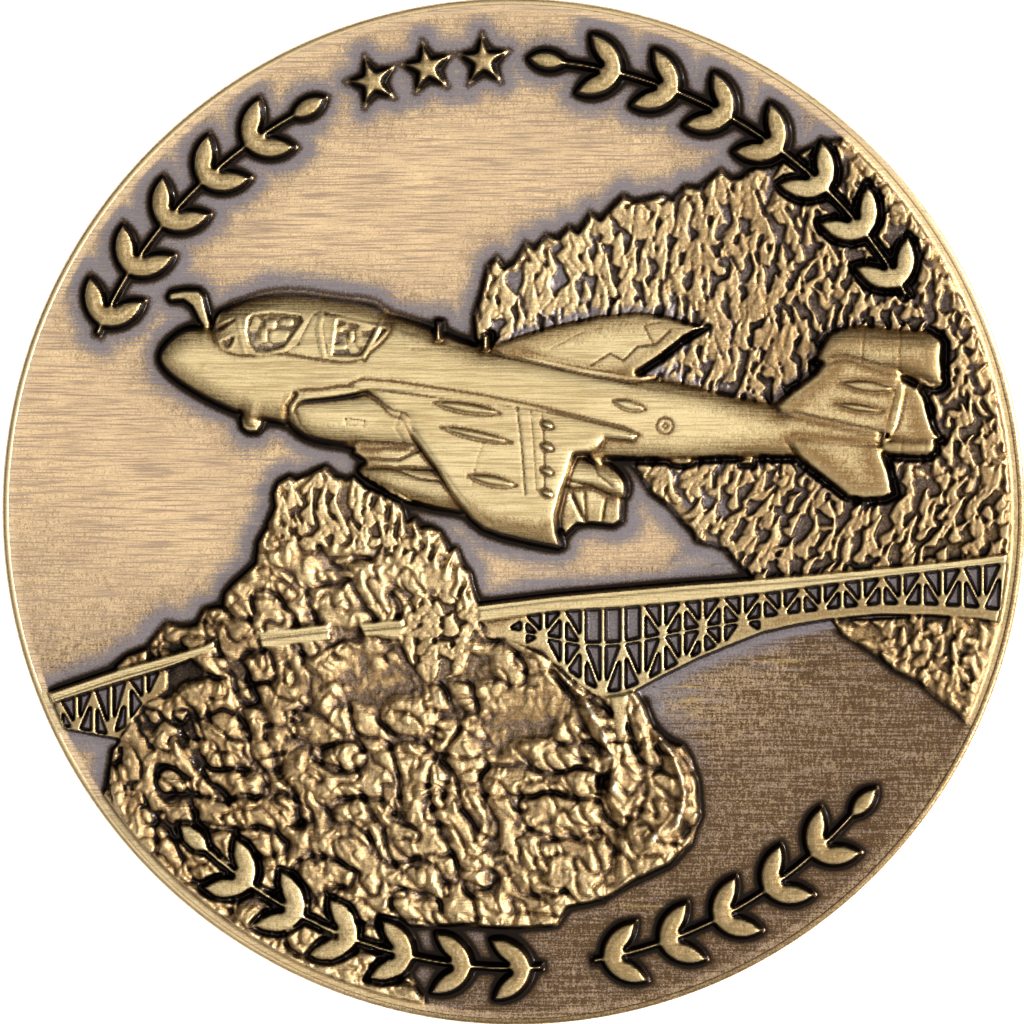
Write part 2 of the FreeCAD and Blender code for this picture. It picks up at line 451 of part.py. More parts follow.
# Front to back: an element keeps only the ground that no earlier element took
ORDER = [
    ("wing_bulges", Part.makeCompound(WING_BULGES), lambda f: sloped(f, (0, 0), 3.60, 0.01, -0.02)),
    ("flap_fairings", Part.makeCompound(FLAP_FAIRINGS), lambda f: sloped(f, (0, 0), 3.60, 0.01, -0.02)),
    ("fin_bulges", Part.makeCompound(FIN_BULGES), lambda f: sloped(f, (14.5, 5.0), 3.45, 0.0, 0.01)),
    ("fuselage_bulge", FUSELAGE_BULGE, lambda f: raised(f, 0.92)),
    ("round_port", ROUND_PORT, lambda f: raised(f, 0.84)),
    ("canopy_frame", CANOPY_FRAME, lambda f: arched(f, CANOPY_CREST, 1.5, (3.56, 3.68), 3.42)),
    ("near_wing", NEAR_WING, lambda f: sloped(f, (0, 0), 3.52, 0.01, -0.02)),
    ("engine_nacelle", NACELLE, lambda f: arched(f, ((-9.8, 4.4), (-3.0, 3.8)), 1.4, (3.36, 3.40), 3.05)),
    ("wing_pylon", PYLON, lambda f: raised(f, 0.50)),
    ("underwing_pod", UNDERWING_POD,
     lambda f: arched(f, ((-7.0, 1.7), (-1.3, 0.7)), 1.0, (3.15, 3.30), 2.85)),
    ("rear_pod", REAR_POD, lambda f: arched(f, ((2.2, 1.75), (5.2, 1.3)), 0.8, (3.15, 3.20), 2.85)),
    ("rear_pod_fins", REAR_FINS, lambda f: raised(f, 0.38)),
    ("near_tailplane", TAILPLANE, lambda f: sloped(f, (14.5, 2.0), 3.34, 0.0, 0.01)),
    ("fin_tip_pod", FIN_POD, lambda f: arched(f, ((13.6, 7.25), (19.5, 6.6)), 1.1, (3.52, 3.52), 3.2)),
    ("rudder", RUDDER, lambda f: sloped(f, (18.0, 4.5), 3.24, -0.02, 0.0)),
    ("tail_cone", TAIL_CONE, lambda f: arched(f, ((16.5, 2.95), (19.0, 2.95)), 0.55, (3.28, 3.24), 3.05)),
    ("tail_fin", FIN, lambda f: sloped(f, (14.5, 5.0), 3.38, 0.0, 0.01)),
    ("cockpit_canopy", CANOPY, lambda f: arched(f, CANOPY_CREST, 1.5, (3.50, 3.62), 3.36)),
    ("refuelling_probe", PROBE, lambda f: raised(f, 0.42)),
    ("belly_aerial", BELLY_AERIAL, lambda f: raised(f, 0.40)),
    ("spine_aerials", SPINE_AERIALS, lambda f: raised(f, 0.80)),
    ("jet_fuselage", FUSELAGE, lambda f: arched(f, ((-15.3, 6.4), (17.0, 3.3)), 3.2, (3.48, 3.34), 3.05)),
    ("far_wing", FAR_WING, lambda f: sloped(f, (4.0, 7.5), 3.20, 0.02, -0.05)),
    ("ventral_fairings", FAIRINGS, lambda f: raised(f, 0.45)),
    ("sprig_upper_left", SPRIG_UPPER_LEFT, lambda f: raised(f, H_SPRIG)),
    ("sprig_upper_right", SPRIG_UPPER_RIGHT, lambda f: raised(f, H_SPRIG + 0.2)),
    ("sprig_lower_left", SPRIG_LOWER_LEFT, lambda f: raised(f, H_SPRIG + 0.2)),
    ("sprig_lower_right", SPRIG_LOWER_RIGHT, lambda f: raised(f, H_SPRIG)),
    ("star_left", STARS[0], lambda f: raised(f, H_SPRIG)),
    ("star_middle", STARS[1], lambda f: raised(f, H_SPRIG)),
    ("star_right", STARS[2], lambda f: raised(f, H_SPRIG)),
    ("island_trees", ISLAND_TREES, lambda f: raised(f, H_TREES)),
    ("arch_bridge_deck", ARCH_DECK, lambda f: raised(f, H_DECK)),
    ("mid_bridge_deck", MID_DECK, lambda f: raised(f, H_DECK)),
    ("left_bridge_deck", LEFT_DECK, lambda f: raised(f, H_DECK)),
    ("bridge_pier", PIER, lambda f: raised(f, H_DECK)),
    ("arch_bridge_truss", ARCH_TRUSS, lambda f: raised(f, H_TRUSS)),
    ("left_bridge_truss", LEFT_TRUSS, lambda f: raised(f, H_TRUSS)),
    ("forest_hill", FOREST_HILL, lambda f: raised(f, H_HILL)),
    ("right_bank", RIGHT_BANK, lambda f: raised(f, H_HILL)),
    ("rock_island", ISLAND_GROUND, lambda f: raised(f, H_ROCK)),
    ("river_ripples", Part.makeCompound([ripple(*crest) for crest in RIPPLES]),
     lambda f: raised(f, H_RIPPLE)),
]

LEAST_SOLID = 0.01     # crumbs in mm3 that the overlaps of outlines leave are dropped below this


def save(name, shape):
    """Write one node as a valid group of solids."""
    solids = [s for s in shape.Solids if s.Volume > LEAST_SOLID]
    if not solids:
        raise RuntimeError(name + " has no solid")
    for solid in solids:
        if not solid.isValid():
            raise RuntimeError(name + " isn't valid")
    group = solids[0] if len(solids) == 1 else Part.makeCompound(solids)
    group.exportStep("parts/" + name + ".step")


def main():
    os.makedirs("parts", exist_ok=True)
    save("planchet", planchet())
    save("reverse_border", reverse_border())
    save("reverse_star", reverse_relief(star(0, 0, REVERSE_STAR_R, 90), H_REVERSE_STAR))
    for side, start, end in (("left", 262.0, 108.0), ("right", -82.0, 72.0)):
        branch = sprig(REVERSE_WREATH_R, start, end, 12, REVERSE_LEAF_LENGTH, REVERSE_LEAF_WIDTH)
        save("reverse_wreath_" + side, reverse_relief(branch, H_REVERSE_WREATH))

    face_disc = disc(0, 0, FACE_R)
    taken = None
    for name, outline, build in ORDER:
        ground = outline.common(face_disc)
        if taken is not None:
            ground = ground.cut(taken)
        save(name, build(ground.removeSplitter()))
        taken = ground if taken is None else taken.fuse(ground)


main()
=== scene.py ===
import math
import bpy
import numpy as np
from mathutils import Matrix


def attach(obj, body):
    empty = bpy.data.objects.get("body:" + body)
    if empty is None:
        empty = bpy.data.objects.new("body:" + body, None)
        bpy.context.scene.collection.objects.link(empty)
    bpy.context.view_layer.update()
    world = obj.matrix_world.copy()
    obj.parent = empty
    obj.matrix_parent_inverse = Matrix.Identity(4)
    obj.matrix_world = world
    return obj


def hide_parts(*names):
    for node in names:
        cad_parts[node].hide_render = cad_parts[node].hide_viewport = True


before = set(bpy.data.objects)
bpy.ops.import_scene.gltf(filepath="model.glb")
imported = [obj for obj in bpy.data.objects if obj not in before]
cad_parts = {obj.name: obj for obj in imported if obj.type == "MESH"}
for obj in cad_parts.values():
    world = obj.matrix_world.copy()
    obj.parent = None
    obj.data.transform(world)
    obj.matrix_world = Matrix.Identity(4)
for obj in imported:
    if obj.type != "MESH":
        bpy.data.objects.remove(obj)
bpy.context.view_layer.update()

# The obverse is sculpted as one height field in millimetres, over the outlines of the CAD nodes, and
# every node's own ground becomes a closed mesh of its own. The edge and the reverse field are a lathe.
MM = 0.001
PITCH = 0.05            # grid spacing of the obverse
SKIN_R = 21.93          # the sculpted face ends here and the turned edge begins
FLOOR_Z = 2.10          # flat underside of the relief pieces, inside the blank
RIM_R = 21.72           # the relief has died away into the rim by here
TRIM_R = 21.95          # an outline further out is only a node's cut by the rim
NOISE_SPAN = 60         # width of a noise lattice, centred on the coin
BODY = "root"

# Front to back: a node lies over all the nodes after it
ORDER = (
    "wing_bulges", "flap_fairings", "fin_bulges", "fuselage_bulge", "round_port", "canopy_frame", "near_wing",
    "engine_nacelle", "wing_pylon", "underwing_pod", "rear_pod", "rear_pod_fins", "near_tailplane",
    "fin_tip_pod", "rudder", "tail_cone", "tail_fin", "cockpit_canopy", "refuelling_probe", "belly_aerial",
    "spine_aerials", "jet_fuselage", "far_wing", "ventral_fairings", "sprig_upper_left",
    "sprig_upper_right", "sprig_lower_left", "sprig_lower_right", "star_left", "star_middle", "star_right",
    "island_trees", "arch_bridge_deck", "mid_bridge_deck", "left_bridge_deck", "bridge_pier",
    "arch_bridge_truss", "left_bridge_truss", "forest_hill", "right_bank", "rock_island", "river_ripples")
FIELD_RANK = len(ORDER)
AIRCRAFT_PARTS = 24     # the jet's nodes come first
FOLIAGE = ("forest_hill", "island_trees", "rock_island", "right_bank")


def ranks(names):
    return [ORDER.index(name) for name in names]


ORNAMENTS = ranks(name for name in ORDER if name.startswith(("star", "sprig")))
TRUSSES = ranks(name for name in ORDER if name.endswith("truss"))
DECKS = ranks(name for name in ORDER if name.endswith("deck"))
WOODS = ranks(FOLIAGE)
FLUSH = ranks(("cockpit_canopy", "canopy_frame"))
BULGES = ranks(("wing_bulges", "fin_bulges", "fuselage_bulge"))
UNSEAMED = BULGES + FLUSH + ranks(("engine_nacelle", "flap_fairings", "spine_aerials", "round_port"))
FUSELAGE, NEAR_WING, CANOPY = ranks(("jet_fuselage", "near_wing", "cockpit_canopy"))
HILL, TREES, ROCK, RIPPLES = ranks(("forest_hill", "island_trees", "rock_island", "river_ripples"))


# ---------------- helpers on arrays

def ease(low, high, value):
    """0 at low, 1 at high, with a soft start and end."""
    t = np.clip((value - low) / (high - low), 0, 1)
    return t * t * (3 - 2 * t)


def bell(value, width):
    """1 at zero, falling away on both sides."""
    return np.exp(-(value / width) ** 2)


def box_blur(field, cells, passes=3):
    """Near-Gaussian blur by running means."""
    out = field.astype(float)
    for _ in range(passes):
        for axis in (0, 1):
            pad = [(0, 0), (0, 0)]
            pad[axis] = (cells + 1, cells)
            total = np.cumsum(np.pad(out, pad, mode="edge"), axis=axis)
            n = out.shape[axis]
            high = np.take(total, np.arange(2 * cells + 1, 2 * cells + 1 + n), axis=axis)
            low = np.take(total, np.arange(0, n), axis=axis)
            out = (high - low) / (2 * cells + 1)
    return out


def noise(x, y, size, seed):
    """Smooth lattice noise from -1 to 1 whose features have a size in mm."""
    rng = np.random.default_rng(seed)
    count = int(NOISE_SPAN / size) + 4
    lattice = rng.uniform(-1, 1, (count, count))
    u, v = (x + NOISE_SPAN / 2) / size, (y + NOISE_SPAN / 2) / size
    i, j = np.floor(u).astype(int), np.floor(v).astype(int)
    i, j = np.clip(i, 0, count - 2), np.clip(j, 0, count - 2)
    fu, fv = ease(0, 1, u - i), ease(0, 1, v - j)
    low = lattice[j, i] * (1 - fu) + lattice[j, i + 1] * fu
    high = lattice[j + 1, i] * (1 - fu) + lattice[j + 1, i + 1] * fu
    return low * (1 - fv) + high * fv


def segment_distance(x, y, x0, y0, x1, y1):
    dx, dy = x1 - x0, y1 - y0
    along = np.clip(((x - x0) * dx + (y - y0) * dy) / (dx * dx + dy * dy + 1e-12), 0, 1)
    return np.hypot(x - x0 - along * dx, y - y0 - along * dy)


def line_distance(x, y, points):
    """Distance to a bent line."""
    best = np.full(x.shape, 99.0)
    for (x0, y0), (x1, y1) in zip(points[:-1], points[1:]):
        best = np.minimum(best, segment_distance(x, y, x0, y0, x1, y1))
    return best


def even_odd(x, y, start, end):
    """Which points lie inside an outline of segments, by even-odd crossings."""
    x, y = x[..., None], y[..., None]
    (x0, y0), (x1, y1) = start.T, end.T
    rise = np.where(y1 == y0, 1.0, y1 - y0)
    crossed = ((y0 > y) != (y1 > y)) & (x < x0 + (y - y0) * (x1 - x0) / rise)
    return crossed.sum(-1) % 2 == 1


def mounds(x, y, places):
    """1 at the middle of the nearest ellipse and 0 on its outline; each is centre and half axes in mm."""
    return np.maximum.reduce([1 - ((x - cx) / rx) ** 2 - ((y - cy) / ry) ** 2 for cx, cy, rx, ry in places])


# ---------------- outlines of the CAD nodes

class Outline:
    """Plan outline and top surface of a CAD node."""

    def __init__(self, name, rank):
        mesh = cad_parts[name].data
        mesh.calc_loop_triangles()
        co = np.empty(len(mesh.vertices) * 3)
        mesh.vertices.foreach_get("co", co)
        co = co.reshape(-1, 3) / MM
        tri = np.empty(len(mesh.loop_triangles) * 3, np.int64)
        mesh.loop_triangles.foreach_get("vertices", tri)
        tri = tri.reshape(-1, 3)
        _, first, same = np.unique(np.round(co * 5000).astype(np.int64), axis=0, return_index=True,
                                   return_inverse=True)
        co, tri = co[first], same.reshape(-1)[tri]
        a, b, c = co[tri[:, 0]], co[tri[:, 1]], co[tri[:, 2]]
        normal = np.cross(b - a, c - a)
        top = tri[normal[:, 2] > 0.3 * np.linalg.norm(normal, axis=1)]
        edges = np.concatenate([top[:, [0, 1]], top[:, [1, 2]], top[:, [2, 0]]])
        code = edges.min(1) * len(co) + edges.max(1)
        _, index, count = np.unique(code, return_index=True, return_counts=True)
        border = edges[index[count == 1]]
        self.name = name
        self.rank = rank
        self.start, self.end = co[border[:, 0], :2], co[border[:, 1], :2]
        self.points = co[np.unique(top)]
        self.low, self.high = self.points[:, :2].min(0), self.points[:, :2].max(0)

    def contains(self, px, py):
        inside = np.zeros(len(px), bool)
        near = (px > self.low[0]) & (px < self.high[0]) & (py > self.low[1]) & (py < self.high[1])
        if near.any():
            inside[near] = even_odd(px[near], py[near], self.start, self.end)
        return inside

    def fill(self, xs, ys):
        """Grid points inside, by even-odd crossings along each row."""
        toggles = np.zeros((len(ys), len(xs) + 1), np.int32)
        for (x0, y0), (x1, y1) in zip(self.start, self.end):
            first, last = np.searchsorted(ys, (min(y0, y1), max(y0, y1)))
            if first == last:
                continue
            rows = np.arange(first, last)
            cross = x0 + (ys[rows] - y0) * (x1 - x0) / (y1 - y0)
            toggles[rows, np.searchsorted(xs, cross)] += 1
        return np.cumsum(toggles, axis=1)[:, :-1] % 2 == 1


def field_height(x, y):
    return DISH[0] + DISH[1] * (x * x + y * y)


def dish_of_planchet():
    """Centre height and quadratic rise of the dished field, from the CAD mesh."""
    points = Outline("planchet", -1).points
    r2 = points[:, 0] ** 2 + points[:, 1] ** 2
    dished = (r2 < 21.9 ** 2) & (points[:, 2] > 2.4)
    basis = np.stack([np.ones(dished.sum()), r2[dished]], axis=1)
    return np.linalg.lstsq(basis, points[dished, 2], rcond=None)[0]


DISH = dish_of_planchet()


def top_surface(outline):
    """Smooth surface through a node's CAD top, as a function that reaches past its outline."""
    x, y, z = outline.points.T
    above = z - field_height(x, y)
    if np.ptp(above) < 0.02:
        rise = float(np.median(above))
        return lambda u, v: field_height(u, v) + rise
    basis = np.stack([np.ones_like(x), x, y, x * x, x * y, y * y], axis=1)
    c = np.linalg.lstsq(basis, z, rcond=None)[0]
    return lambda u, v: c[0] + c[1] * u + c[2] * v + c[3] * u * u + c[4] * u * v + c[5] * v * v


OUTLINES = [Outline(name, rank) for rank, name in enumerate(ORDER)]


def all_segments(longest=0.25):
    """Every outline in short segments, with the rank inside and the rank just outside."""
    rows = []
    for outline in OUTLINES:
        span = outline.end - outline.start
        parts = np.maximum(1, np.ceil(np.hypot(*span.T) / longest)).astype(int)
        base = np.repeat(outline.start, parts, axis=0)
        step = np.repeat(span / parts[:, None], parts, axis=0)
        turn = np.concatenate([np.arange(n) for n in parts])[:, None]
        start = base + step * turn
        rows.append(np.column_stack([start, start + step, np.full(len(start), outline.rank)]))
    rows = np.concatenate(rows)
    span = rows[:, 2:4] - rows[:, 0:2]
    length = np.hypot(*span.T) + 1e-9
    mid = (rows[:, 0:2] + rows[:, 2:4]) / 2
    away = np.column_stack([span[:, 1], -span[:, 0]]) / length[:, None]
    probe = mid + away * 0.03
    outside = np.full(len(rows), FIELD_RANK)
    for outline in reversed(OUTLINES):
        outside[outline.contains(probe[:, 0], probe[:, 1])] = outline.rank
    on_rim = (np.hypot(rows[:, 0], rows[:, 1]) > TRIM_R) & (np.hypot(rows[:, 2], rows[:, 3]) > TRIM_R)
    keep = ~on_rim & (length > 1e-4)
    return rows[keep, :4], rows[keep, 4].astype(int), outside[keep], away[keep]


SEGMENTS, INSIDE_RANK, OUTSIDE_RANK, AWAY = all_segments()

# Kinds of segment: round the jet, between two of its parts, with a groove, and lit from above
JET = INSIDE_RANK < AIRCRAFT_PARTS
BETWEEN = JET & (OUTSIDE_RANK < AIRCRAFT_PARTS)
JOINTS = BETWEEN & ~np.isin(INSIDE_RANK, UNSEAMED)
UPWARD = BETWEEN & (AWAY[:, 1] > 0.2) & ~np.isin(INSIDE_RANK, FLUSH)
# The jet's shaded side, and what stands in the woods with a painted shadow beside it
SHADED = JET & ((AWAY[:, 0] > 0.3) | (AWAY[:, 1] < -0.3))
FRAMED = (np.isin(INSIDE_RANK, ORNAMENTS) | SHADED) & np.isin(OUTSIDE_RANK, WOODS)
# Relief that ends on the flat field, and trees that melt into the rock
ON_BARE_FIELD = (OUTSIDE_RANK == FIELD_RANK) & (INSIDE_RANK != RIPPLES)
MELTING = (INSIDE_RANK == TREES) & (OUTSIDE_RANK == ROCK)


# ---------------- the grid

COUNT = 2 * int(SKIN_R / PITCH + 3) + 1
AXIS = (np.arange(COUNT) - COUNT // 2) * PITCH
X, Y = np.meshgrid(AXIS, AXIS)
RADIUS = np.hypot(X, Y)
EVERYWHERE = (slice(0, COUNT), slice(0, COUNT))

# Places on the grid, bent out of shape so that repeated marks look hand cut
WARP_X = X + 0.12 * noise(X, Y, 0.5, 11) + 0.18 * noise(X, Y, 1.6, 12)
WARP_Y = Y + 0.12 * noise(X, Y, 0.5, 13) + 0.18 * noise(X, Y, 1.6, 14)


def window(low, high, margin):
    """Slices of the grid round a box."""
    i0, j0 = np.searchsorted(AXIS, (low[0] - margin, low[1] - margin))
    i1, j1 = np.searchsorted(AXIS, (high[0] + margin, high[1] + margin))
    return slice(j0, j1), slice(i0, i1)


def distance_to(kind, reach, win=EVERYWHERE):
    """Exact distance from the grid points of a window to one kind of segment, up to a reach."""
    segments = SEGMENTS[kind]
    xs, ys = AXIS[win[1]], AXIS[win[0]]
    best = np.full((len(ys), len(xs)), reach)
    low = np.minimum(segments[:, :2], segments[:, 2:]) - reach
    high = np.maximum(segments[:, :2], segments[:, 2:]) + reach
    i0, i1 = np.searchsorted(xs, low[:, 0]), np.searchsorted(xs, high[:, 0])
    j0, j1 = np.searchsorted(ys, low[:, 1]), np.searchsorted(ys, high[:, 1])
    for k in np.nonzero((i1 > i0) & (j1 > j0))[0]:
        view = best[j0[k]:j1[k], i0[k]:i1[k]]
        x, y = xs[None, i0[k]:i1[k]], ys[j0[k]:j1[k], None]
        np.minimum(view, segment_distance(x, y, *segments[k]), out=view)
    return best


def owner_grid(xs, ys):
    """Rank of the front node at each grid point; hairline gaps between nodes are closed."""
    owner = np.full((len(ys), len(xs)), FIELD_RANK)
    for outline in reversed(OUTLINES):
        owner[outline.fill(xs, ys)] = outline.rank
    around = np.stack([np.roll(owner, shift, axis) for shift in (-1, 1) for axis in (0, 1)])
    lonely = (owner == FIELD_RANK) & ((around < FIELD_RANK).sum(0) >= 3)
    owner[lonely] = around.min(0)[lonely]
    return owner


OWNER = owner_grid(AXIS, AXIS)


# ---------------- sculpted detail

def marks_in_rows(low, high, across, along, rng):
    """Jittered rows of places, from the top of the picture to the bottom."""
    places = []
    rows = int((high[1] - low[1]) / along) + 3
    columns = int((high[0] - low[0]) / across) + 3
    for row in range(rows):
        for column in range(columns):
            x = low[0] + across * (column + 0.5 * (row % 2)) + rng.uniform(-0.38, 0.38) * across
            y = high[1] - along * row + rng.uniform(-0.45, 0.45) * along
            places.append((x, y))
    places.sort(key=lambda place: -place[1])
    return places


def stamp(out, xs, ys, warp_x, warp_y, mark):
    """Paint one raised mark over what is there. A mark is (x, y, heading, length, half width,
    height, share of the height at its foot, bluntness of its tip)."""
    x0, y0, heading, length, half, height, foot, blunt = mark
    reach = length + half
    i0, i1 = np.searchsorted(xs, (x0 - reach, x0 + reach))
    j0, j1 = np.searchsorted(ys, (y0 - reach, y0 + reach))
    if i0 >= i1 or j0 >= j1:
        return
    near = (slice(j0, j1), slice(i0, i1))
    dx, dy = warp_x[near] - x0, warp_y[near] - y0
    ux, uy = math.cos(heading), math.sin(heading)
    along = (dx * ux + dy * uy) / length
    across = (dy * ux - dx * uy) / half
    width = np.clip(1 - along, 0, 1) ** blunt * np.clip(0.25 + along * 5, 0, 1)
    u = across / np.maximum(width, 1e-6)
    inside = (along > 0) & (along < 1) & (np.abs(u) < 1)
    value = height * (foot + (1 - foot) * along) * np.clip(1 - u * u, 0, 1) ** 0.4
    out[near][inside] = value[inside]


def painted(win, marks):
    out = np.zeros(X[win].shape)
    for mark in marks:
        stamp(out, AXIS[win[1]], AXIS[win[0]], WARP_X[win], WARP_Y[win], mark)
    return out


def billow(x, y, size, seed, power):
    """Rounded lumps with sharp gaps between them, from 0 to 1."""
    return np.clip(np.abs(noise(x, y, size, seed)) * 1.9, 0, 1) ** power


def rough(x, y, seed):
    """Tool marks and casting grain on foliage and rock."""
    return 0.028 * noise(x, y, 0.13, seed) + 0.022 * noise(x, y, 0.24, seed + 1)


def planted(win, box, spacing, lengths, halves, heights, swing, blunt, rng, lean=0.0):
    """Marks over a box in jittered rows, painted from the top of the picture down."""
    marks = []
    for px, py in marks_in_rows(box[:2], box[2:], spacing[0], spacing[1], rng):
        length = rng.uniform(*lengths)
        heading = math.radians(90 + lean + rng.normal(0, swing))
        marks.append((px, py - length * 0.5, heading, length, rng.uniform(*halves), rng.uniform(*heights),
                      0.45, blunt))
    return painted(win, marks)


def stepped(raw, height, low=0.02, high=0.10):
    """Turn marks into flat-topped forms with steep sides over a level floor."""
    return height * ease(low, high, raw) + 0.30 * raw


# Each detail function takes the window, the grid's x and y in it and the distance d from the outline

def hill_detail(win, x, y, d):
    """Conifers in overlapping rows: larger to the left, finer and more broken to the right."""
    rng = np.random.default_rng(21)
    box = (-2, -3, 22, 17)
    near = planted(win, box, (0.56, 0.64), (0.8, 1.7), (0.22, 0.42), (0.14, 0.40), 12, 0.6, rng, -2)
    far = planted(win, box, (0.50, 0.56), (0.5, 1.2), (0.14, 0.30), (0.12, 0.38), 24, 0.6, rng, -4)
    box = (4, -4, 22, 4)
    low = planted(win, box, (0.54, 0.62), (0.6, 1.35), (0.17, 0.33), (0.16, 0.38), 20, 0.65, rng, -24)
    share = ease(-0.25, 0.25, noise(x, y, 1.5, 26) + (x - 11.0) / 5)
    trees = near * (1 - share) + far * share
    foot = ease(0.8, 2.6, y + 0.5 * noise(x, y, 1.2, 27))
    trees = low * (1 - foot) + trees * foot
    return -0.25 + stepped(trees, 0.13) + 0.5 * rough(x, y, 22) + 0.03 * noise(x, y, 2.2, 24)


def trees_detail(win, x, y, d):
    """Conifers over clumps, with a row of separate pointed trees down the right-hand outline."""
    rng = np.random.default_rng(31)
    box = (-11, -8, -1, 2.6)
    trees = planted(win, box, (0.54, 0.62), (0.8, 1.6), (0.18, 0.33), (0.16, 0.40), 14, 0.8, rng)
    clumps = planted(win, box, (0.56, 0.50), (0.5, 1.1), (0.24, 0.42), (0.16, 0.40), 40, 0.3, rng)
    row = []
    for share in np.linspace(0, 1, 10):
        px, py = -6.1 + 4.35 * share, 0.75 - 4.3 * share ** 1.15
        row.append((px, py - 0.62, math.radians(84 + rng.normal(0, 5)), 1.25, 0.24, 0.62, 0.6, 1.0))
    pointed = painted(win, row)
    clearing = 1 - ease(0, 0.6, box_blur(pointed > 0, 5))
    share = ease(-0.2, 0.2, noise(x, y, 1.5, 34) + 0.25 * (y + 2.0))
    mixed = np.where(pointed > 0, pointed, (trees * share + clumps * (1 - share)) * clearing)
    slope = mounds(x, y, ((-3.4, -2.9, 2.2, 0.8),))
    bare = ease(0.0, 0.9, slope + 0.4 * noise(x, y, 0.9, 45)) * (pointed == 0)
    mixed = stepped(mixed, 0.15) * (1 - bare) + 0.2 * bare
    return -0.38 + mixed + 0.5 * rough(x, y, 32) + 0.05 * noise(x, y, 1.8, 33)


# Barer ground on the island: centre and half axes in mm
BARE_SLOPES = ((-6.2, -7.2, 3.6, 1.5), (0.6, -8.8, 2.6, 1.5), (-2.6, -6.7, 2.8, 0.9), (-14.5, -7.0, 1.6, 0.6))


def island_detail(win, x, y, d):
    """Rounded clumps in two sizes with sharp gaps between them, leaves, and a few barer slopes."""
    rng = np.random.default_rng(41)
    wx, wy = WARP_X[win] * 1.1 + 0.4 * y, WARP_Y[win]
    clumps = 0.36 * billow(wx, wy, 1.30, 44, 0.5) + 0.22 * billow(wx, wy, 0.62, 46, 0.6)
    box = (-20, -23, 9, 0)
    leaves = planted(win, box, (0.50, 0.48), (0.4, 1.0), (0.14, 0.30), (0.04, 0.20), 45, 0.4, rng, 12)
    bare = ease(0.0, 0.9, mounds(x, y, BARE_SLOPES) + 0.5 * noise(x, y, 0.9, 45))
    strata = 0.08 * noise(x * 0.5 + y * 0.3, y * 1.8, 0.9, 43)
    foliage = clumps + stepped(leaves, 0.05) * (0.5 + 0.5 * ease(0.1, 0.3, clumps))
    return (-0.52 + foliage * (1 - bare) + (0.24 + strata + 0.4 * leaves) * bare + 0.5 * rough(x, y, 47)
            + 0.10 * noise(x, y, 2.0, 42) + island_ridges(x, y))


ISLAND_RIDGES = (
    (((2.1, -6.8), (3.2, -8.0), (3.9, -9.4), (4.5, -10.6), (4.6, -12.2), (4.9, -13.0)), 0.20, -0.34),
    (((1.8, -7.1), (2.8, -8.3), (3.4, -9.6), (4.0, -10.8), (4.1, -12.2)), 0.14, 0.16),
    (((5.9, -8.4), (6.4, -9.4), (7.2, -10.4), (7.5, -11.8), (7.2, -13.4), (6.2, -14.4)), 0.20, -0.30),
    (((5.3, -9.2), (5.6, -10.6), (5.9, -11.8), (5.5, -13.2)), 0.16, 0.14),
    (((-12.0, -6.5), (-10.9, -8.6), (-9.9, -11.0), (-9.0, -13.6)), 0.20, 0.28),
    (((-2.2, -9.3), (-2.9, -10.6), (-2.7, -12.4)), 0.16, 0.24),
    (((-14.4, -9.0), (-13.4, -11.2), (-12.4, -12.6)), 0.18, 0.24),
    (((-6.5, -12.2), (-5.6, -13.8), (-4.9, -15.4)), 0.16, 0.22),
)


def island_ridges(x, y):
    """Crests along the right shore and gullies that run down the slopes."""
    wx = x + 0.25 * noise(x, y, 1.1, 48)
    wy = y + 0.25 * noise(x, y, 1.1, 49)
    return engraved(wx, wy, ISLAND_RIDGES)


def bank_detail(win, x, y, d):
    rng = np.random.default_rng(51)
    box = (13, -10, 22.5, -3.5)
    lumps = planted(win, box, (0.62, 0.5), (0.5, 1.2), (0.18, 0.36), (0.12, 0.30), 40, 0.4, rng, 20)
    return -0.30 + lumps + rough(x, y, 53)


def facet_detail(win, x, y, d):
    """Almost flat top with a low ridge, as struck ornaments wear."""
    return -0.03 + 0.16 * np.minimum(d, 0.5) + 0.3 * rough(x, y, 55)


def plain_detail(win, x, y, d):
    """Nearly smooth metal."""
    return 0.003 * noise(x, y, 0.5, 61)


def bulge_detail(win, x, y, d):
    return 0.02 + plain_detail(win, x, y, d)


def frame_detail(win, x, y, d):
    """Low hoops that die away towards the canopy's crest."""
    return 0.035 * ease(0, 0.12, d) * (1 - ease(8.3, 8.9, y))


def engraved(x, y, lines):
    """Grooves along bent lines; each line is (points, half width, depth), negative for a bead."""
    total = np.zeros(x.shape)
    for points, width, depth in lines:
        total -= depth * bell(line_distance(x, y, points), width)
    return total


SPINE = ((-8.0, 8.65), (-5.0, 8.05), (-3.2, 7.45), (-1.1, 6.95), (1.4, 6.45), (3.8, 5.88), (6.4, 5.42),
         (11.4, 4.6))
FUSELAGE_LINES = (
    (SPINE, 0.07, 0.035),
    (((-9.25, 5.1), (-9.62, 4.6), (-9.62, 4.0), (-9.3, 3.4)), 0.11, 0.16),
    (((-4.2, 7.1), (-1.8, 7.15), (0.2, 6.75), (2.4, 6.2)), 0.06, 0.02),
    (((-13.2, 6.3), (-11.5, 5.9), (-9.0, 5.6), (-6.6, 5.85)), 0.14, -0.03),
    (((-12.9, 7.15), (-12.2, 6.7), (-11.0, 6.5), (-9.6, 6.55)), 0.08, 0.012),
    (((5.9, 3.2), (8.5, 3.05), (12.0, 3.1)), 0.05, 0.015),
)


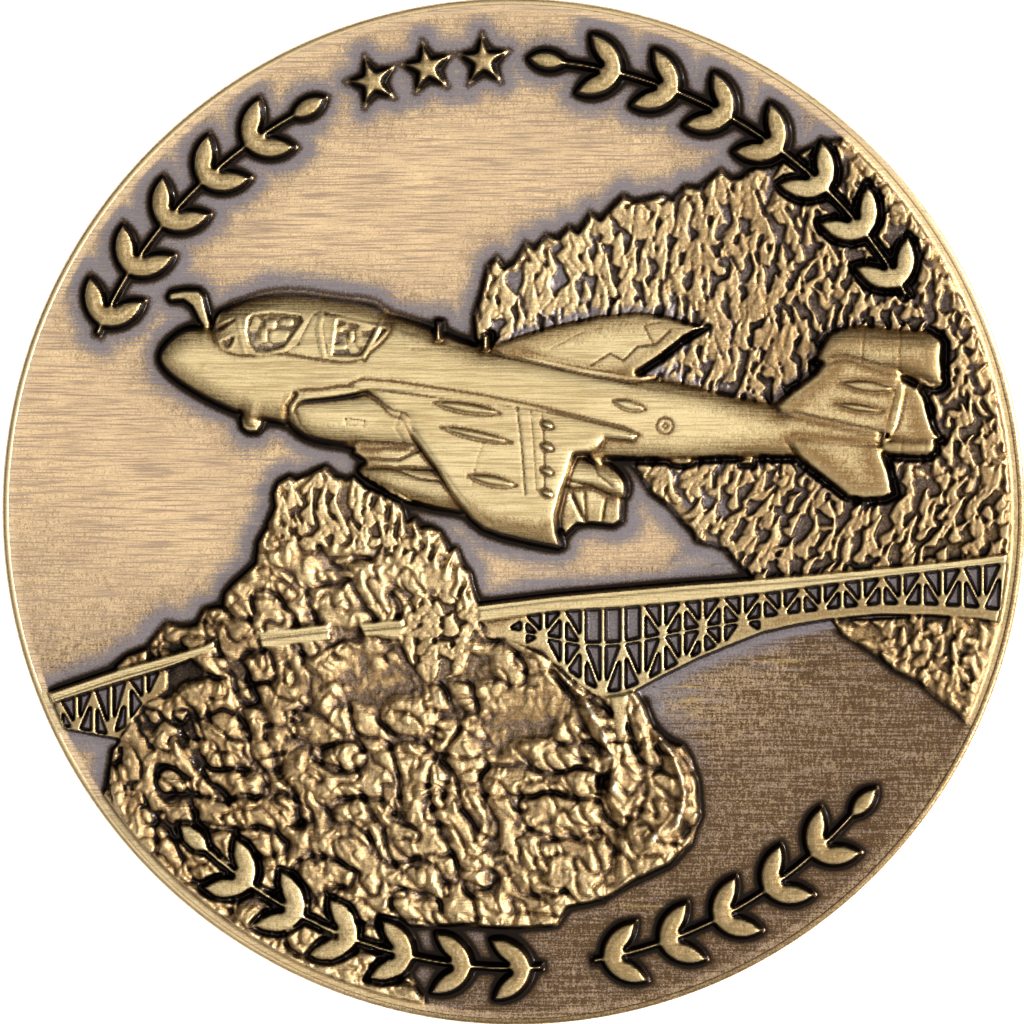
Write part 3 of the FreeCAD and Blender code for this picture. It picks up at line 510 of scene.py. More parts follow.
def fuselage_detail(win, x, y, d):
    """Spine facet that turns away from the light, creases, and scratches on the nose."""
    sx, sy = np.array(SPINE).T
    above = np.clip(y - np.interp(x, sx, sy), 0, 1) * ease(-7.5, -5.0, x)
    scratches = 0.006 * noise(x * 3.0 - y, y * 3.0 + x, 0.5, 63) * (1 - ease(-13.6, -12.4, x))
    return engraved(x, y, FUSELAGE_LINES) - 0.30 * above + scratches


WING_LINES = (
    (((0.42, 4.55), (0.62, 3.0), (0.78, 0.85)), 0.06, 0.035),
    (((1.02, 4.38), (1.15, 3.0), (1.27, 1.0)), 0.05, 0.022),
    (((1.5, 4.25), (1.6, 3.0), (1.62, 0.8)), 0.06, 0.03),
    (((-1.0, 3.2), (-1.4, 2.0), (-1.5, 1.2)), 0.05, 0.015),
    (((-1.5, 1.9), (0.5, 1.5)), 0.05, 0.015),
    (((-4.3, 3.9), (-2.0, 0.7), (-0.7, -0.45)), 0.07, 0.02),
)


def wing_tip(x, y):
    """How far down the near wing's tip, from 0 to 1."""
    return np.clip((0.15 - y - 0.12 * x) / 1.7, 0, 1)


def wing_detail(win, x, y, d):
    """Hinge lines, and a tip that falls away towards its lower end."""
    return engraved(x, y, WING_LINES) - 0.45 * wing_tip(x, y) ** 1.4


PANES = (
    ((-11.4, 8.42), (-11.15, 8.65), (-10.3, 8.75), (-9.0, 8.6), (-8.85, 8.3), (-9.35, 7.6), (-9.7, 7.12),
     (-10.35, 6.92), (-11.0, 6.9), (-11.32, 7.25), (-11.45, 7.85)),
    ((-7.5, 8.45), (-7.68, 6.75), (-6.45, 6.7), (-6.0, 7.05), (-5.5, 7.6), (-5.15, 8.0), (-6.5, 8.25)),
    ((-12.75, 8.05), (-12.5, 8.22), (-11.85, 8.5), (-11.8, 8.33), (-12.4, 7.9), (-12.7, 7.83)),
    ((-12.6, 7.45), (-11.85, 7.75), (-11.9, 7.4), (-12.1, 7.08), (-12.35, 7.08)),
)
HOOPS = (
    (((-9.1, 7.3), (-8.75, 8.0), (-8.45, 8.6), (-7.95, 8.6)), 0.06, 0.02),
    (((-9.6, 6.95), (-9.1, 7.3)), 0.06, 0.02),
)


# Plain blocks of the cockpit: centre, half axes and height in mm
BLOCKS = (
    (-10.34, 8.15, 0.24, 0.20, 0.10), (-10.62, 7.72, 0.16, 0.30, 0.07), (-9.62, 8.26, 0.26, 0.16, 0.09),
    (-9.95, 7.66, 0.42, 0.26, 0.06), (-6.82, 7.68, 0.12, 0.24, 0.10), (-7.40, 7.95, 0.20, 0.12, 0.07),
    (-7.30, 7.18, 0.30, 0.10, 0.07), (-6.30, 7.42, 0.26, 0.20, 0.05), (-6.1, 8.02, 0.42, 0.12, 0.05),
)


def canopy_detail(win, x, y, d):
    """Sunken panes with thin raised rims and plain blocks of the cockpit behind them."""
    total = engraved(x, y, HOOPS)
    blocks = np.maximum.reduce([h * np.clip(1.3 - ((x - cx) / rx) ** 4 - ((y - cy) / ry) ** 4, 0, 1)
                                for cx, cy, rx, ry, h in BLOCKS])
    for corners in PANES:
        loop = np.array(corners + corners[:1])
        away = line_distance(x, y, loop)
        inner = np.where(even_odd(x, y, loop[:-1], loop[1:]), ease(0.0, 0.12, away), 0)
        total += inner * (0.7 * blocks + 0.02 * noise(x, y, 0.25, 65) - 0.08)
        total += 0.02 * bell(away - 0.02, 0.06)
    return total


LINES = {
    "engine_nacelle": (
        (((-8.9, 5.2), (-9.25, 4.5), (-9.1, 3.85), (-8.55, 3.3)), 0.06, 0.03),
        (((-7.05, 4.1), (-6.2, 4.0), (-6.25, 3.78), (-7.0, 3.82), (-7.05, 4.1)), 0.05, 0.03),
        (((-4.6, 4.3), (-4.9, 3.7), (-4.5, 3.0)), 0.06, 0.02)),
    "underwing_pod": (
        (((-6.3, 1.92), (-5.3, 2.0), (-3.9, 1.5), (-2.3, 1.3)), 0.07, 0.06),
        (((-6.0, 1.6), (-4.6, 1.1), (-2.0, 0.9)), 0.12, -0.02)),
    "wing_pylon": ((((-6.2, 2.36), (-4.8, 2.28), (-3.85, 2.75)), 0.08, 0.07),),
    "rear_pod": (
        (((2.5, 1.45), (3.6, 1.2), (4.4, 0.6)), 0.08, 0.08),
        (((3.6, 2.35), (3.9, 1.7), (4.5, 1.2)), 0.07, 0.06),
        (((4.5, 1.9), (4.9, 1.2)), 0.06, 0.05)),
    "rear_pod_fins": (
        (((2.75, 0.8), (3.25, -0.3)), 0.1, 0.14),
        (((4.2, 0.6), (4.0, -0.5)), 0.07, 0.08),
        (((3.3, 0.9), (3.35, -0.5)), 0.07, 0.07)),
    "fin_tip_pod": (
        (((15.35, 8.1), (15.25, 6.2)), 0.05, 0.03),
        (((16.9, 8.1), (16.85, 5.8)), 0.05, 0.03)),
    "far_wing": (
        (((3.6, 6.4), (4.4, 6.9), (5.0, 6.6), (5.6, 7.2), (6.4, 7.3), (7.0, 7.9)), 0.06, 0.04),
        (((1.6, 6.95), (3.4, 7.9), (5.6, 8.3)), 0.06, 0.012),
        (((6.3, 7.3), (5.9, 8.1), (6.6, 8.3)), 0.05, 0.03)),
    "tail_fin": (
        (((12.3, 4.45), (14.0, 4.05), (16.2, 3.6)), 0.06, 0.03),
        (((12.2, 4.9), (13.6, 5.9)), 0.06, 0.015)),
    "near_tailplane": ((((12.6, 3.3), (14.2, 3.2), (16.0, 3.0)), 0.05, 0.02),),
    "round_port": ((((6.8, 3.93), (6.93, 3.8), (6.8, 3.67), (6.67, 3.8), (6.8, 3.93)), 0.06, 0.06),),
    "tail_cone": ((((17.0, 3.4), (16.9, 2.5)), 0.05, 0.03), (((18.0, 3.4), (17.95, 2.5)), 0.05, 0.02)),
}


def banded(rise, depth, inward, half):
    """Two smooth bands with a dark gap between them, a way in from the outlines that face up the picture."""
    upper = (AWAY[:, 1] > 0.8) & np.isin(INSIDE_RANK, DECKS)
    return lambda win, x, y, d: rise - depth * bell(distance_to(upper, 0.6, win) - inward, half)


def ripple_detail(win, x, y, d):
    """The ripples' own plates sink, and only the waves of the water show."""
    return -0.08


# Water by the arch, by the hill, at the island's foot and under the span: centre and half axes in mm
SHORES = ((7.6, -8.3, 3.0, 1.5), (8.4, -2.1, 1.8, 0.9), (5.6, -16.9, 3.4, 1.1), (12.5, -6.3, 4.5, 0.6))


def water(x, y):
    """Waves along the shores of the river: long, low and level."""
    return ease(0, 0.7, mounds(x, y, SHORES)) * 0.045 * noise(x * 0.28, y, 0.36, 67)


DETAIL = {
    "jet_fuselage": fuselage_detail, "cockpit_canopy": canopy_detail, "canopy_frame": frame_detail,
    "near_wing": wing_detail, "wing_bulges": bulge_detail, "flap_fairings": bulge_detail,
    "fin_bulges": bulge_detail, "forest_hill": hill_detail, "island_trees": trees_detail,
    "rock_island": island_detail, "right_bank": bank_detail, "river_ripples": ripple_detail,
    "arch_bridge_deck": banded(0, 0.07, 0.24, 0.06), "mid_bridge_deck": banded(0.10, 0.10, 0.34, 0.05),
    "left_bridge_deck": banded(0.10, 0.10, 0.34, 0.05),
}
DETAIL.update({ORDER[_rank]: facet_detail for _rank in ORNAMENTS})

# Wall width, how far in the edge is rounded and how deep the rounding is, in mm
WALLS = {
    "jet_fuselage": (0.40, 1.20, 0.34), "near_wing": (0.32, 0.60, 0.14), "far_wing": (0.28, 0.50, 0.12),
    "wing_bulges": (0.13, 0.20, 0.02), "flap_fairings": (0.12, 0.14, 0.0), "fin_bulges": (0.14, 0.20, 0.02),
    "fuselage_bulge": (0.14, 0.20, 0.0), "round_port": (0.12, 0.10, 0.0),
    "engine_nacelle": (0.55, 1.20, 0.28), "wing_pylon": (0.22, 0.30, 0.06),
    "underwing_pod": (0.36, 0.90, 0.26), "rear_pod": (0.28, 0.60, 0.20), "rear_pod_fins": (0.24, 0.40, 0.10),
    "near_tailplane": (0.32, 0.50, 0.14), "fin_tip_pod": (0.36, 0.80, 0.22), "rudder": (0.30, 0.40, 0.10),
    "tail_cone": (0.30, 0.45, 0.14), "tail_fin": (0.32, 0.50, 0.14), "forest_hill": (0.26, 0.5, 0.06),
    "island_trees": (0.20, 0.3, 0.04), "rock_island": (0.26, 0.9, 0.12), "right_bank": (0.18, 0.5, 0.08),
    "arch_bridge_deck": (0.12, 0.15, 0.03), "mid_bridge_deck": (0.10, 0.12, 0.02),
    "left_bridge_deck": (0.10, 0.12, 0.02), "arch_bridge_truss": (0.08, 0.14, 0.03),
    "left_bridge_truss": (0.08, 0.14, 0.03), "river_ripples": (0.12, 0.12, 0.0),
}
WALLS.update({ORDER[_rank]: (0.27, 0.36, 0.07) for _rank in ORNAMENTS})
OTHER_WALL = (0.16, 0.35, 0.08)
REACH = 1.4             # no wall or rounded edge is wider


def sculpt():
    """The whole obverse as one height field, composed from the back to the front."""
    height = field_height(X, Y) + water(X, Y)
    for outline in reversed(OUTLINES):
        wall, edge, depth = WALLS.get(outline.name, OTHER_WALL)
        win = window(outline.low, outline.high, 1.2)
        x, y = X[win], Y[win]
        covered = OWNER[win] <= outline.rank
        own = OWNER[win] == outline.rank
        if outline.rank == FUSELAGE:
            own |= np.isin(OWNER[win], FLUSH)
        faces = (INSIDE_RANK <= outline.rank) & (OUTSIDE_RANK > outline.rank) & ~MELTING
        d = np.where(covered, distance_to(faces, REACH, win), 0)
        detail = DETAIL.get(outline.name, plain_detail)(win, x, y, d)
        detail = detail + engraved(x, y, LINES.get(outline.name, ()))
        if outline.rank in FLUSH:
            height[win] += detail * own     # cut into the fuselage, which reaches under it
            continue
        # A node's surface goes on a little under its neighbours; the trees fade out over the rock
        near = np.where(own, 1.0, ease(0.01, 0.20, box_blur(own, 9, 2)))
        if outline.rank == TREES:
            near = near * ease(0.15, 0.85, box_blur(OWNER[win] != ROCK, 6, 2))
        rise = np.sin(ease(0, 1, d / wall) ** 0.8 * math.pi / 2)
        top = top_surface(outline)(x, y) - depth * (1 - np.clip(d / edge, 0, 1)) ** 2
        if outline.rank < AIRCRAFT_PARTS:
            top = np.maximum(top, height[win] - (0 if outline.rank in UNSEAMED else 0.02))
        top = top + detail
        if outline.rank in WOODS:
            top -= 0.26 * (1 - ease(0.0, 0.26, distance_to(FRAMED, REACH, win)))
        height[win] += (top - height[win]) * rise * near
    height -= 0.035 * bell(distance_to(JOINTS, 0.5), 0.075) * (OWNER < AIRCRAFT_PARTS)
    inner = 1 - ease(RIM_R - 0.22, RIM_R, RADIUS)
    height = field_height(X, Y) + (height - field_height(X, Y)) * inner
    return softened(height)


def softened(height):
    """Light three-point blur that takes the stair steps off steep walls."""
    for axis in (0, 1):
        height = (np.roll(height, 1, axis) + 2 * height + np.roll(height, -1, axis)) / 4
    return height


HEIGHT = sculpt()


# ---------------- wear and patina, with painted shade and painted glints

def rim_tone_and_shade(x, y):
    """The rim is browner towards the lower right: painted shade."""
    return 0.20 + 0.60 * ease(8, 26, x - y)


# How far each point lies below its surroundings at two scales, and the low ground between forms
FINE = box_blur(HEIGHT, 2) - HEIGHT
BROAD = box_blur(HEIGHT, 6) - HEIGHT
FLOOR = ease(0.012, 0.05, box_blur(HEIGHT, 9) - HEIGHT)
GRADE_Y, GRADE_X = np.gradient(HEIGHT, PITCH)
SLOPE = np.hypot(GRADE_X, GRADE_Y)
NORMALS = np.dstack([-GRADE_X, -GRADE_Y, np.ones_like(GRADE_X)])
NORMALS /= np.linalg.norm(NORMALS, axis=2, keepdims=True)

ON_JET = OWNER < AIRCRAFT_PARTS
ON_WOODS = np.isin(OWNER, WOODS)
ON_FIELD = OWNER >= RIPPLES
ON_ISLAND = ON_WOODS & (X < 9) & (Y < 3) & (OWNER != HILL)
UPPER_ISLAND = ON_ISLAND * ease(-7, -3, Y)
LEFT_ISLAND = ON_ISLAND * ease(10, 15, -X) * (1 - ease(-7, -5, Y))
IN_TRUSS = ease(0.10, 0.28, box_blur(np.isin(OWNER, TRUSSES), 9)) * (OWNER == FIELD_RANK)
# Painted shade: the near wing's tip darkens as it falls away
TIP = wing_tip(X, Y) * (OWNER == NEAR_WING)
# Painted shade: darker towards the lower right of the coin
LOWER_RIGHT = ease(7, 22, X - Y)
OFF_RELIEF = distance_to(ON_BARE_FIELD, 3.0)

# Fine dark lines are fainter round the bulges, most of all below them, so that their painted shade stays on
# the upper side
AROUND_BULGES = ease(0.02, 0.35, box_blur(np.isin(OWNER, BULGES), 4))
CLEAR = 1 - AROUND_BULGES * (0.30 + 0.55 * ease(-0.02, 0.06, GRADE_Y))


def patina_and_shade():
    """Black patina in hollows and at the foot of the relief, with painted shade on steep walls, between the
    trees, in a band beside the jet's shaded edges and towards the lower right; the jet's upward edges are
    painted lighter.
    """
    dark = ease(0.006, 0.06, FINE) * 0.6 + ease(0.02, 0.2, BROAD) * 0.7
    # Steep walls: black patina and painted shade
    dark += ease(0.8, 1.7, SLOPE) * 0.9
    # Painted light: edges between the jet's parts that face up keep less of the dark
    upward_light = bell(distance_to(UPWARD, 1.0), 0.35)
    lines = 0.30 * np.maximum(ease(0.002, 0.012, FINE) * CLEAR, ease(0.35, 1.0, TIP))
    dark = np.where(ON_JET, np.maximum(dark * (1 - 0.7 * upward_light), lines), dark)
    # Painted shade by region: low ground darker towards the right and on the island, lighter on its upper
    # part, darker on its left
    ground = 0.10 + 0.30 * ON_ISLAND + 0.30 * ease(6, 14, X)
    gaps = ease(0.8, 2.2, SLOPE) * 0.6 + ease(0.09, 0.22, BROAD) * 0.7
    gaps += ease(0.02, 0.07, FINE) * 0.35 + FLOOR * ground
    gaps *= 1 - 0.3 * ON_ISLAND * ease(-14, -8, X)
    gaps *= 1 - 0.30 * UPPER_ISLAND
    gaps += 0.35 * LEFT_ISLAND * FLOOR
    # Painted shadow: a dark band in the woods beside the ornaments and the jet's shaded edges
    gaps += 0.8 * (1 - ease(0.02, 0.24, distance_to(FRAMED, 1.0)))
    dark = np.where(ON_WOODS, gaps, dark)
    dark += 0.45 * (1 - ease(0.06, 0.32, OFF_RELIEF)) * ON_FIELD
    # Painted shade: the field darker near the relief towards the lower right
    dark += 0.30 * np.exp(-OFF_RELIEF / 0.9) * LOWER_RIGHT * ON_FIELD
    return np.clip(dark, 0, 1) * (1 - 0.85 * IN_TRUSS) * (1 - 0.5 * np.isin(OWNER, DECKS))


def polish_and_glints():
    """Bright worn crests, with painted glints on the right shore's ridges and on the leaves that face right.
    """
    wear_and_glints = ease(0.0, 0.05, -FINE) * 0.4 + ease(0.0, 0.10, -BROAD) * 0.25
    # Painted highlights: glints along the shore's ridges and on leaves that face right
    glints = ease(0.14, 0.26, island_ridges(X, Y)) * (OWNER == ROCK)
    glints *= ease(-0.5, 0.3, noise(X, Y, 0.35, 73))
    glints += ON_WOODS * ease(0.05, 0.09, -FINE) * ease(0.4, 0.9, -GRADE_X)
    return np.maximum(wear_and_glints, np.clip(glints, 0, 1))


def halo():
    """Grey round the relief, on the waves, inside the truss, between trees and in the canopy's panes."""
    reach = 0.72 + 0.20 * noise(X, Y, 1.4, 71)
    ring = 1 - ease(reach - 0.50, reach + 0.55, OFF_RELIEF)
    waves = ease(0.004, 0.02, np.abs(water(X, Y))) * 0.7
    panes = 0.6 * (FLOOR * (OWNER == CANOPY))
    grey = np.where(ON_WOODS, FLOOR * (1 - 0.6 * ON_ISLAND), panes)
    grey = np.where(ON_FIELD, np.maximum(ring, waves), grey)
    return np.maximum(grey * (1 - 0.9 * ease(12, 22, X - Y)), IN_TRUSS)


def brown_and_shade():
    """How far the gold has turned brown: toning round the relief, on the decks and ornaments, with painted
    shade towards the right and the lower corners, along the jet's edges, on its falling wing tip and in the
    woods' low ground.
    """
    # Painted shade: the field darker towards the right, the lower right and the lower left; patina darkens it
    # round the relief
    right = 0.45 * ease(2, 20, X)
    lower_left = 0.35 * ease(12, 26, -X - Y)
    around = 0.75 * np.exp(-OFF_RELIEF / 1.5)
    field = 1 - (1 - right) * (1 - 0.85 * LOWER_RIGHT) * (1 - lower_left) * (1 - around)
    # Painted shade: brown along the jet's outer edges, towards the right and down the falling wing tip; dark
    # joints and creases
    jet = 0.8 * bell(distance_to(JET & ~BETWEEN, 3.0) - 0.2, 0.75) + 0.50 * ease(8, 14, X)
    jet += 0.55 * bell(distance_to(JOINTS, 1.0), 0.20) + 0.8 * ease(0.001, 0.010, FINE) * CLEAR
    jet += 1.3 * TIP
    # Painted shade: the woods darker towards the right and on the island's lower left, lighter on its upper
    # part, brown in low ground
    woods = 0.50 + 0.5 * ease(2, 14, X) + 0.2 * ON_ISLAND + 0.5 * ease(-6, -14, X) * (Y < 0)
    woods += 0.25 * LEFT_ISLAND - 0.25 * UPPER_ISLAND
    hollow = box_blur(HEIGHT, 16) - HEIGHT
    woods += 0.4 * ease(-0.02, 0.06, BROAD) + 0.5 * ON_ISLAND * ease(-0.04, 0.12, hollow)
    # Ornaments: browner gold, darker a little way in from their edges, with painted shade towards the lower
    # right
    ornament = 0.55 + 0.5 * bell(OFF_RELIEF - 0.25, 0.2) + 0.25 * LOWER_RIGHT
    tone_and_shade = np.where(ON_FIELD, field, np.where(ON_JET, jet, woods))
    tone_and_shade = np.where(np.isin(OWNER, DECKS), 0.3, tone_and_shade)
    return np.clip(np.where(np.isin(OWNER, ORNAMENTS), ornament, tone_and_shade), 0, 1)


def finish_and_light_maps():
    """The four maps that a brass reads: patina with painted shade, wear with painted glints, grey patina, and
    brown toning with painted shade; the rim's own polish and painted shade are laid over them.
    """
    # The rim is polished, with painted shade towards the lower right
    rim = ease(RIM_R - 0.17, RIM_R, RADIUS)
    wear_and_glints = np.maximum(polish_and_glints(), 0.75 * rim) * (1 - 0.4 * rim * ease(6, 22, X - Y))
    tone_and_shade = brown_and_shade() * (1 - rim) + rim_tone_and_shade(X, Y) * rim
    return np.stack([patina_and_shade() * (1 - rim), wear_and_glints, halo() * (1 - rim), tone_and_shade], axis=-1)


FINISH_AND_LIGHT = finish_and_light_maps()


# ---------------- meshes

def cell_owners():
    """Rank of the node that owns each cell; -1 outside the face."""
    centres = (AXIS[:-1] + AXIS[1:]) / 2
    owner = owner_grid(centres, centres)
    cx, cy = np.meshgrid(centres, centres)
    owner[np.hypot(cx, cy) > SKIN_R] = -1
    return owner


CELLS = cell_owners()


def face_points():
    """Grid points in mm, with the outermost ones moved on to the circle where the face ends."""
    used = CELLS >= 0
    corners = np.zeros((COUNT, COUNT), int)
    for dj in (0, 1):
        for di in (0, 1):
            corners[dj:COUNT - 1 + dj, di:COUNT - 1 + di] += used
    last = (corners > 0) & (corners < 4)
    scale = np.where(last, SKIN_R / np.maximum(RADIUS, 1e-9), 1.0)
    x, y = X * scale, Y * scale
    z = np.where(last, field_height(x, y), HEIGHT)
    return np.dstack([x, y, z])


POINTS = face_points()


def add_object(name, data):
    obj = bpy.data.objects.new(name, data)
    bpy.context.scene.collection.objects.link(obj)
    return obj


def add_piece(name, mesh, material, replaced):
    """Put a mesh in the scene as a visible piece that rides on the coin's body."""
    mesh.materials.append(material)
    obj = add_object(name, mesh)
    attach(obj, BODY)
    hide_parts(replaced)


def set_attribute(mesh, name, kind, domain, key, values):
    data = mesh.attributes.new(name, kind, domain).data
    data.foreach_set(key, values.astype(np.float32).ravel())


def set_uv(mesh, uv):
    mesh.uv_layers.new(name="OFBake").data.foreach_set("uv", uv.astype(np.float32).ravel())


def relief_piece(name, rank, material):
    """Closed piece over a node's own cells: sculpted top, upright skirts and a flat underside."""
    j, i = np.nonzero(CELLS == rank)
    first = j * COUNT + i
    corners = np.stack([first, first + 1, first + COUNT + 1, first + COUNT], axis=1)
    used, flat = np.unique(corners, return_inverse=True)
    top = flat.reshape(-1, 4)
    count = len(used)
    points = POINTS.reshape(-1, 3)[used]
    under = points.copy()
    under[:, 2] = FLOOR_Z
    edges = np.concatenate([top[:, [k, (k + 1) % 4]] for k in range(4)])
    code = edges[:, 0] * count + edges[:, 1]
    back = edges[:, 1] * count + edges[:, 0]
    border = edges[~np.isin(code, back)]
    skirt = np.column_stack([border[:, 1], border[:, 0], border[:, 0] + count, border[:, 1] + count])
    faces = np.concatenate([top, top[:, ::-1] + count, skirt])

    mesh = bpy.data.meshes.new(name)
    mesh.vertices.add(2 * count)
    mesh.vertices.foreach_set("co", (np.concatenate([points, under]) * MM).astype(np.float32).ravel())
    mesh.loops.add(faces.size)
    mesh.loops.foreach_set("vertex_index", faces.astype(np.int32).ravel())
    mesh.polygons.add(len(faces))
    mesh.polygons.foreach_set("loop_start", np.arange(0, faces.size, 4, dtype=np.int32))
    mesh.polygons.foreach_set("use_smooth", np.ones(len(faces), bool))
    mesh.update(calc_edges=True)

    finish_and_light = np.concatenate([FINISH_AND_LIGHT.reshape(-1, 4)[used], np.tile((0.5, 0, 0, 0.5), (count, 1))])
    set_attribute(mesh, "finish_and_light", "FLOAT_COLOR", "POINT", "color", finish_and_light)
    normals = np.concatenate([NORMALS.reshape(-1, 3)[used][top.ravel()], np.tile((0.0, 0, -1), (top.size, 1)),
                              np.repeat(side_normals(points, border), 4, axis=0)])
    set_attribute(mesh, "custom_normal", "FLOAT_VECTOR", "CORNER", "vector", normals)
    ends = np.empty(2 * len(mesh.edges), np.int32)
    mesh.edges.foreach_get("vertices", ends)
    ends = np.sort(ends.reshape(-1, 2), axis=1).astype(np.int64)
    lip = np.sort(np.concatenate([border, border + count]), axis=1)
    sharp = np.isin(ends[:, 0] * 2 * count + ends[:, 1], lip[:, 0] * 2 * count + lip[:, 1])
    mesh.attributes.new("sharp_edge", "BOOLEAN", "EDGE").data.foreach_set("value", sharp)

    # The sculpted top fills the UV square; underside and skirts share its far corner
    low, high = points[:, :2].min(0), points[:, :2].max(0)
    flat_uv = (points[:, :2] - low) / (high - low).max()
    set_uv(mesh, np.concatenate([flat_uv[top.ravel()] * 0.96, 0.97 + flat_uv[top[:, ::-1].ravel()] * 0.02,
                                 np.tile((0.985, 0.965), (skirt.size, 1))]))
    add_piece(name, mesh, material, name if rank < FIELD_RANK else "planchet")


def side_normals(points, border):
    """Level normals that point out of the piece, one for each skirt face."""
    span = points[border[:, 1], :2] - points[border[:, 0], :2]
    length = np.hypot(*span.T) + 1e-9
    return np.column_stack([span[:, 1] / length, -span[:, 0] / length, np.zeros(len(span))])


# ---------------- materials

# Grey patina, painted glints, and the brown-black and black of patina with painted shade
HALO = (0.285, 0.255, 0.275)
PAINTED_GLINT_WHITE = (1.0, 0.88, 0.68)
CREVICE = (0.085, 0.045, 0.018)
BLACK_PATINA_AND_SHADE = (0.012, 0.007, 0.004)


def set_inputs(node, values):
    for key, value in values.items():
        node.inputs[key].default_value = value


def brass(name, gold, shade, deep, streaks, roughness, bump, tone_share, worn_share, coat=0.4, speckle=0.42):
    """Struck brass under an antique patina and a thin lacquer, driven by the maps of wear, patina, painted
    shade and painted glints.
    """
    material = bpy.data.materials.new(name)
    material.use_nodes = True
    nodes, links = material.node_tree.nodes, material.node_tree.links
    shader = nodes["Principled BSDF"]
    set_inputs(shader, {"Metallic": 1.0, "Coat Weight": coat, "Coat Roughness": 0.12})

    def texture(scale, detail, stretch):
        """Noise over the piece's own coordinates, stretched along an axis, as 0 to 1."""
        mapping = nodes.new("ShaderNodeMapping")
        set_inputs(mapping, {"Scale": stretch})
        links.new(coordinates.outputs["Object"], mapping.inputs[0])
        made = nodes.new("ShaderNodeTexNoise")
        set_inputs(made, {"Scale": scale, "Detail": detail, "Roughness": 0.62})
        links.new(mapping.outputs[0], made.inputs["Vector"])
        return ranged(made.outputs[0], 0.40, 0.60, 0.0, 1.0)

    def ranged(socket, low, high, to_low, to_high):
        made = nodes.new("ShaderNodeMapRange")
        set_inputs(made, {"From Min": low, "From Max": high, "To Min": to_low, "To Max": to_high})
        links.new(socket, made.inputs[0])
        return made.outputs[0]

    def total(first, second):
        made = nodes.new("ShaderNodeMath")
        made.operation = "ADD"
        links.new(first, made.inputs[0])
        links.new(second, made.inputs[1])
        return made.outputs[0]

    def mix(factor, first, second):
        made = nodes.new("ShaderNodeMix")
        made.data_type = "RGBA"
        for socket, value in ((made.inputs[0], factor), (made.inputs[6], first), (made.inputs[7], second)):
            if isinstance(value, bpy.types.NodeSocket):
                links.new(value, socket)
            elif isinstance(value, tuple):
                socket.default_value = value + (1.0,)
            else:
                socket.default_value = value
        return made.outputs[2]

    coordinates = nodes.new("ShaderNodeTexCoord")
    finish_and_light = nodes.new("ShaderNodeAttribute")
    finish_and_light.attribute_name = "finish_and_light"
    split = nodes.new("ShaderNodeSeparateColor")
    links.new(finish_and_light.outputs["Color"], split.inputs[0])
    dark, wear_and_glints, halo = split.outputs
    tone_and_shade = finish_and_light.outputs["Alpha"]
    lines = texture(1.0, 5.0, (420, 11500, 420))
    cross = texture(1.0, 3.0, (9000, 2500, 9000))
    clouds = texture(300.0, 4.0, (1, 1, 1))
    grain = texture(13000.0, 2.0, (1, 1, 1))

    colour = mix(ranged(lines, 0.0, 0.7, 1 - streaks, 1), shade, gold)
    colour = mix(ranged(clouds, 0, 1, 0, 0.25), colour, shade)
    scratches = mix(0.3, mix(0.35, lines, cross), grain)
    faint, strong = ranged(scratches, 0, 1, -0.38, 0.38), ranged(scratches, 0, 1, -speckle, speckle)
    # Brown toning and painted shade, speckled
    specks = total(tone_and_shade, mix(tone_and_shade, faint, strong))
    colour = mix(ranged(specks, 0.32, 1.00, 0, tone_share), colour, deep)
    polished = tuple(min(1, c * 1.08) for c in gold)
    colour = mix(ranged(wear_and_glints, 0, 0.65, 0, worn_share), colour, polished)
    veil = total(halo, ranged(lines, 0, 1, 0.22, -0.22))
    colour = mix(ranged(veil, 0.1, 0.9, 0, 0.95), colour, HALO)
    # Painted glints: the brightest wear turns near white
    colour = mix(ranged(wear_and_glints, 0.7, 1.0, 0, 0.6), colour, PAINTED_GLINT_WHITE)
    # Patina and painted shade: brown-black, then black
    stain_and_shade = total(dark, ranged(grain, 0, 1, -0.10, 0.10))
    colour = mix(ranged(stain_and_shade, 0.05, 0.40, 0, 0.85), colour, CREVICE)
    colour = mix(ranged(stain_and_shade, 0.35, 0.85, 0, 1), colour, BLACK_PATINA_AND_SHADE)
    links.new(colour, shader.inputs["Base Color"])
    links.new(ranged(lines, 0, 1, roughness + 0.08, roughness - 0.06), shader.inputs["Roughness"])
    relief = nodes.new("ShaderNodeBump")
    set_inputs(relief, {"Strength": bump, "Distance": 0.00003})
    links.new(mix(0.35, lines, grain), relief.inputs["Height"])
    links.new(relief.outputs[0], shader.inputs["Normal"])
    return material


FIELD_BRASS = brass("field_brass", (1.00, 0.725, 0.42), (0.50, 0.345, 0.225), (0.080, 0.036, 0.012),
                    streaks=0.9, roughness=0.40, bump=0.4, tone_share=0.94, worn_share=0.0, coat=0.15,
                    speckle=0.50)
RELIEF_BRASS = brass("relief_brass", (1.00, 0.80, 0.43), (0.55, 0.37, 0.14), (0.25, 0.125, 0.028),
                     streaks=0.7, roughness=0.38, bump=0.35, tone_share=0.92, worn_share=0.25)
FOLIAGE_BRASS = brass("foliage_brass", (0.95, 0.73, 0.40), (0.50, 0.32, 0.12), (0.23, 0.112, 0.028),
                      streaks=0.6, roughness=0.52, bump=0.5, tone_share=0.80, worn_share=0.3, coat=0.25)
EDGE_BRASS = brass("edge_brass", (0.90, 0.68, 0.38), (0.60, 0.42, 0.20), (0.26, 0.155, 0.060),
                   streaks=0.6, roughness=0.36, bump=0.2, tone_share=0.85, worn_share=0.4, coat=0.15)

for _rank, _name in enumerate(ORDER):
    relief_piece(_name, _rank, FOLIAGE_BRASS if _name in FOLIAGE else RELIEF_BRASS)
relief_piece("planchet_field", FIELD_RANK, FIELD_BRASS)


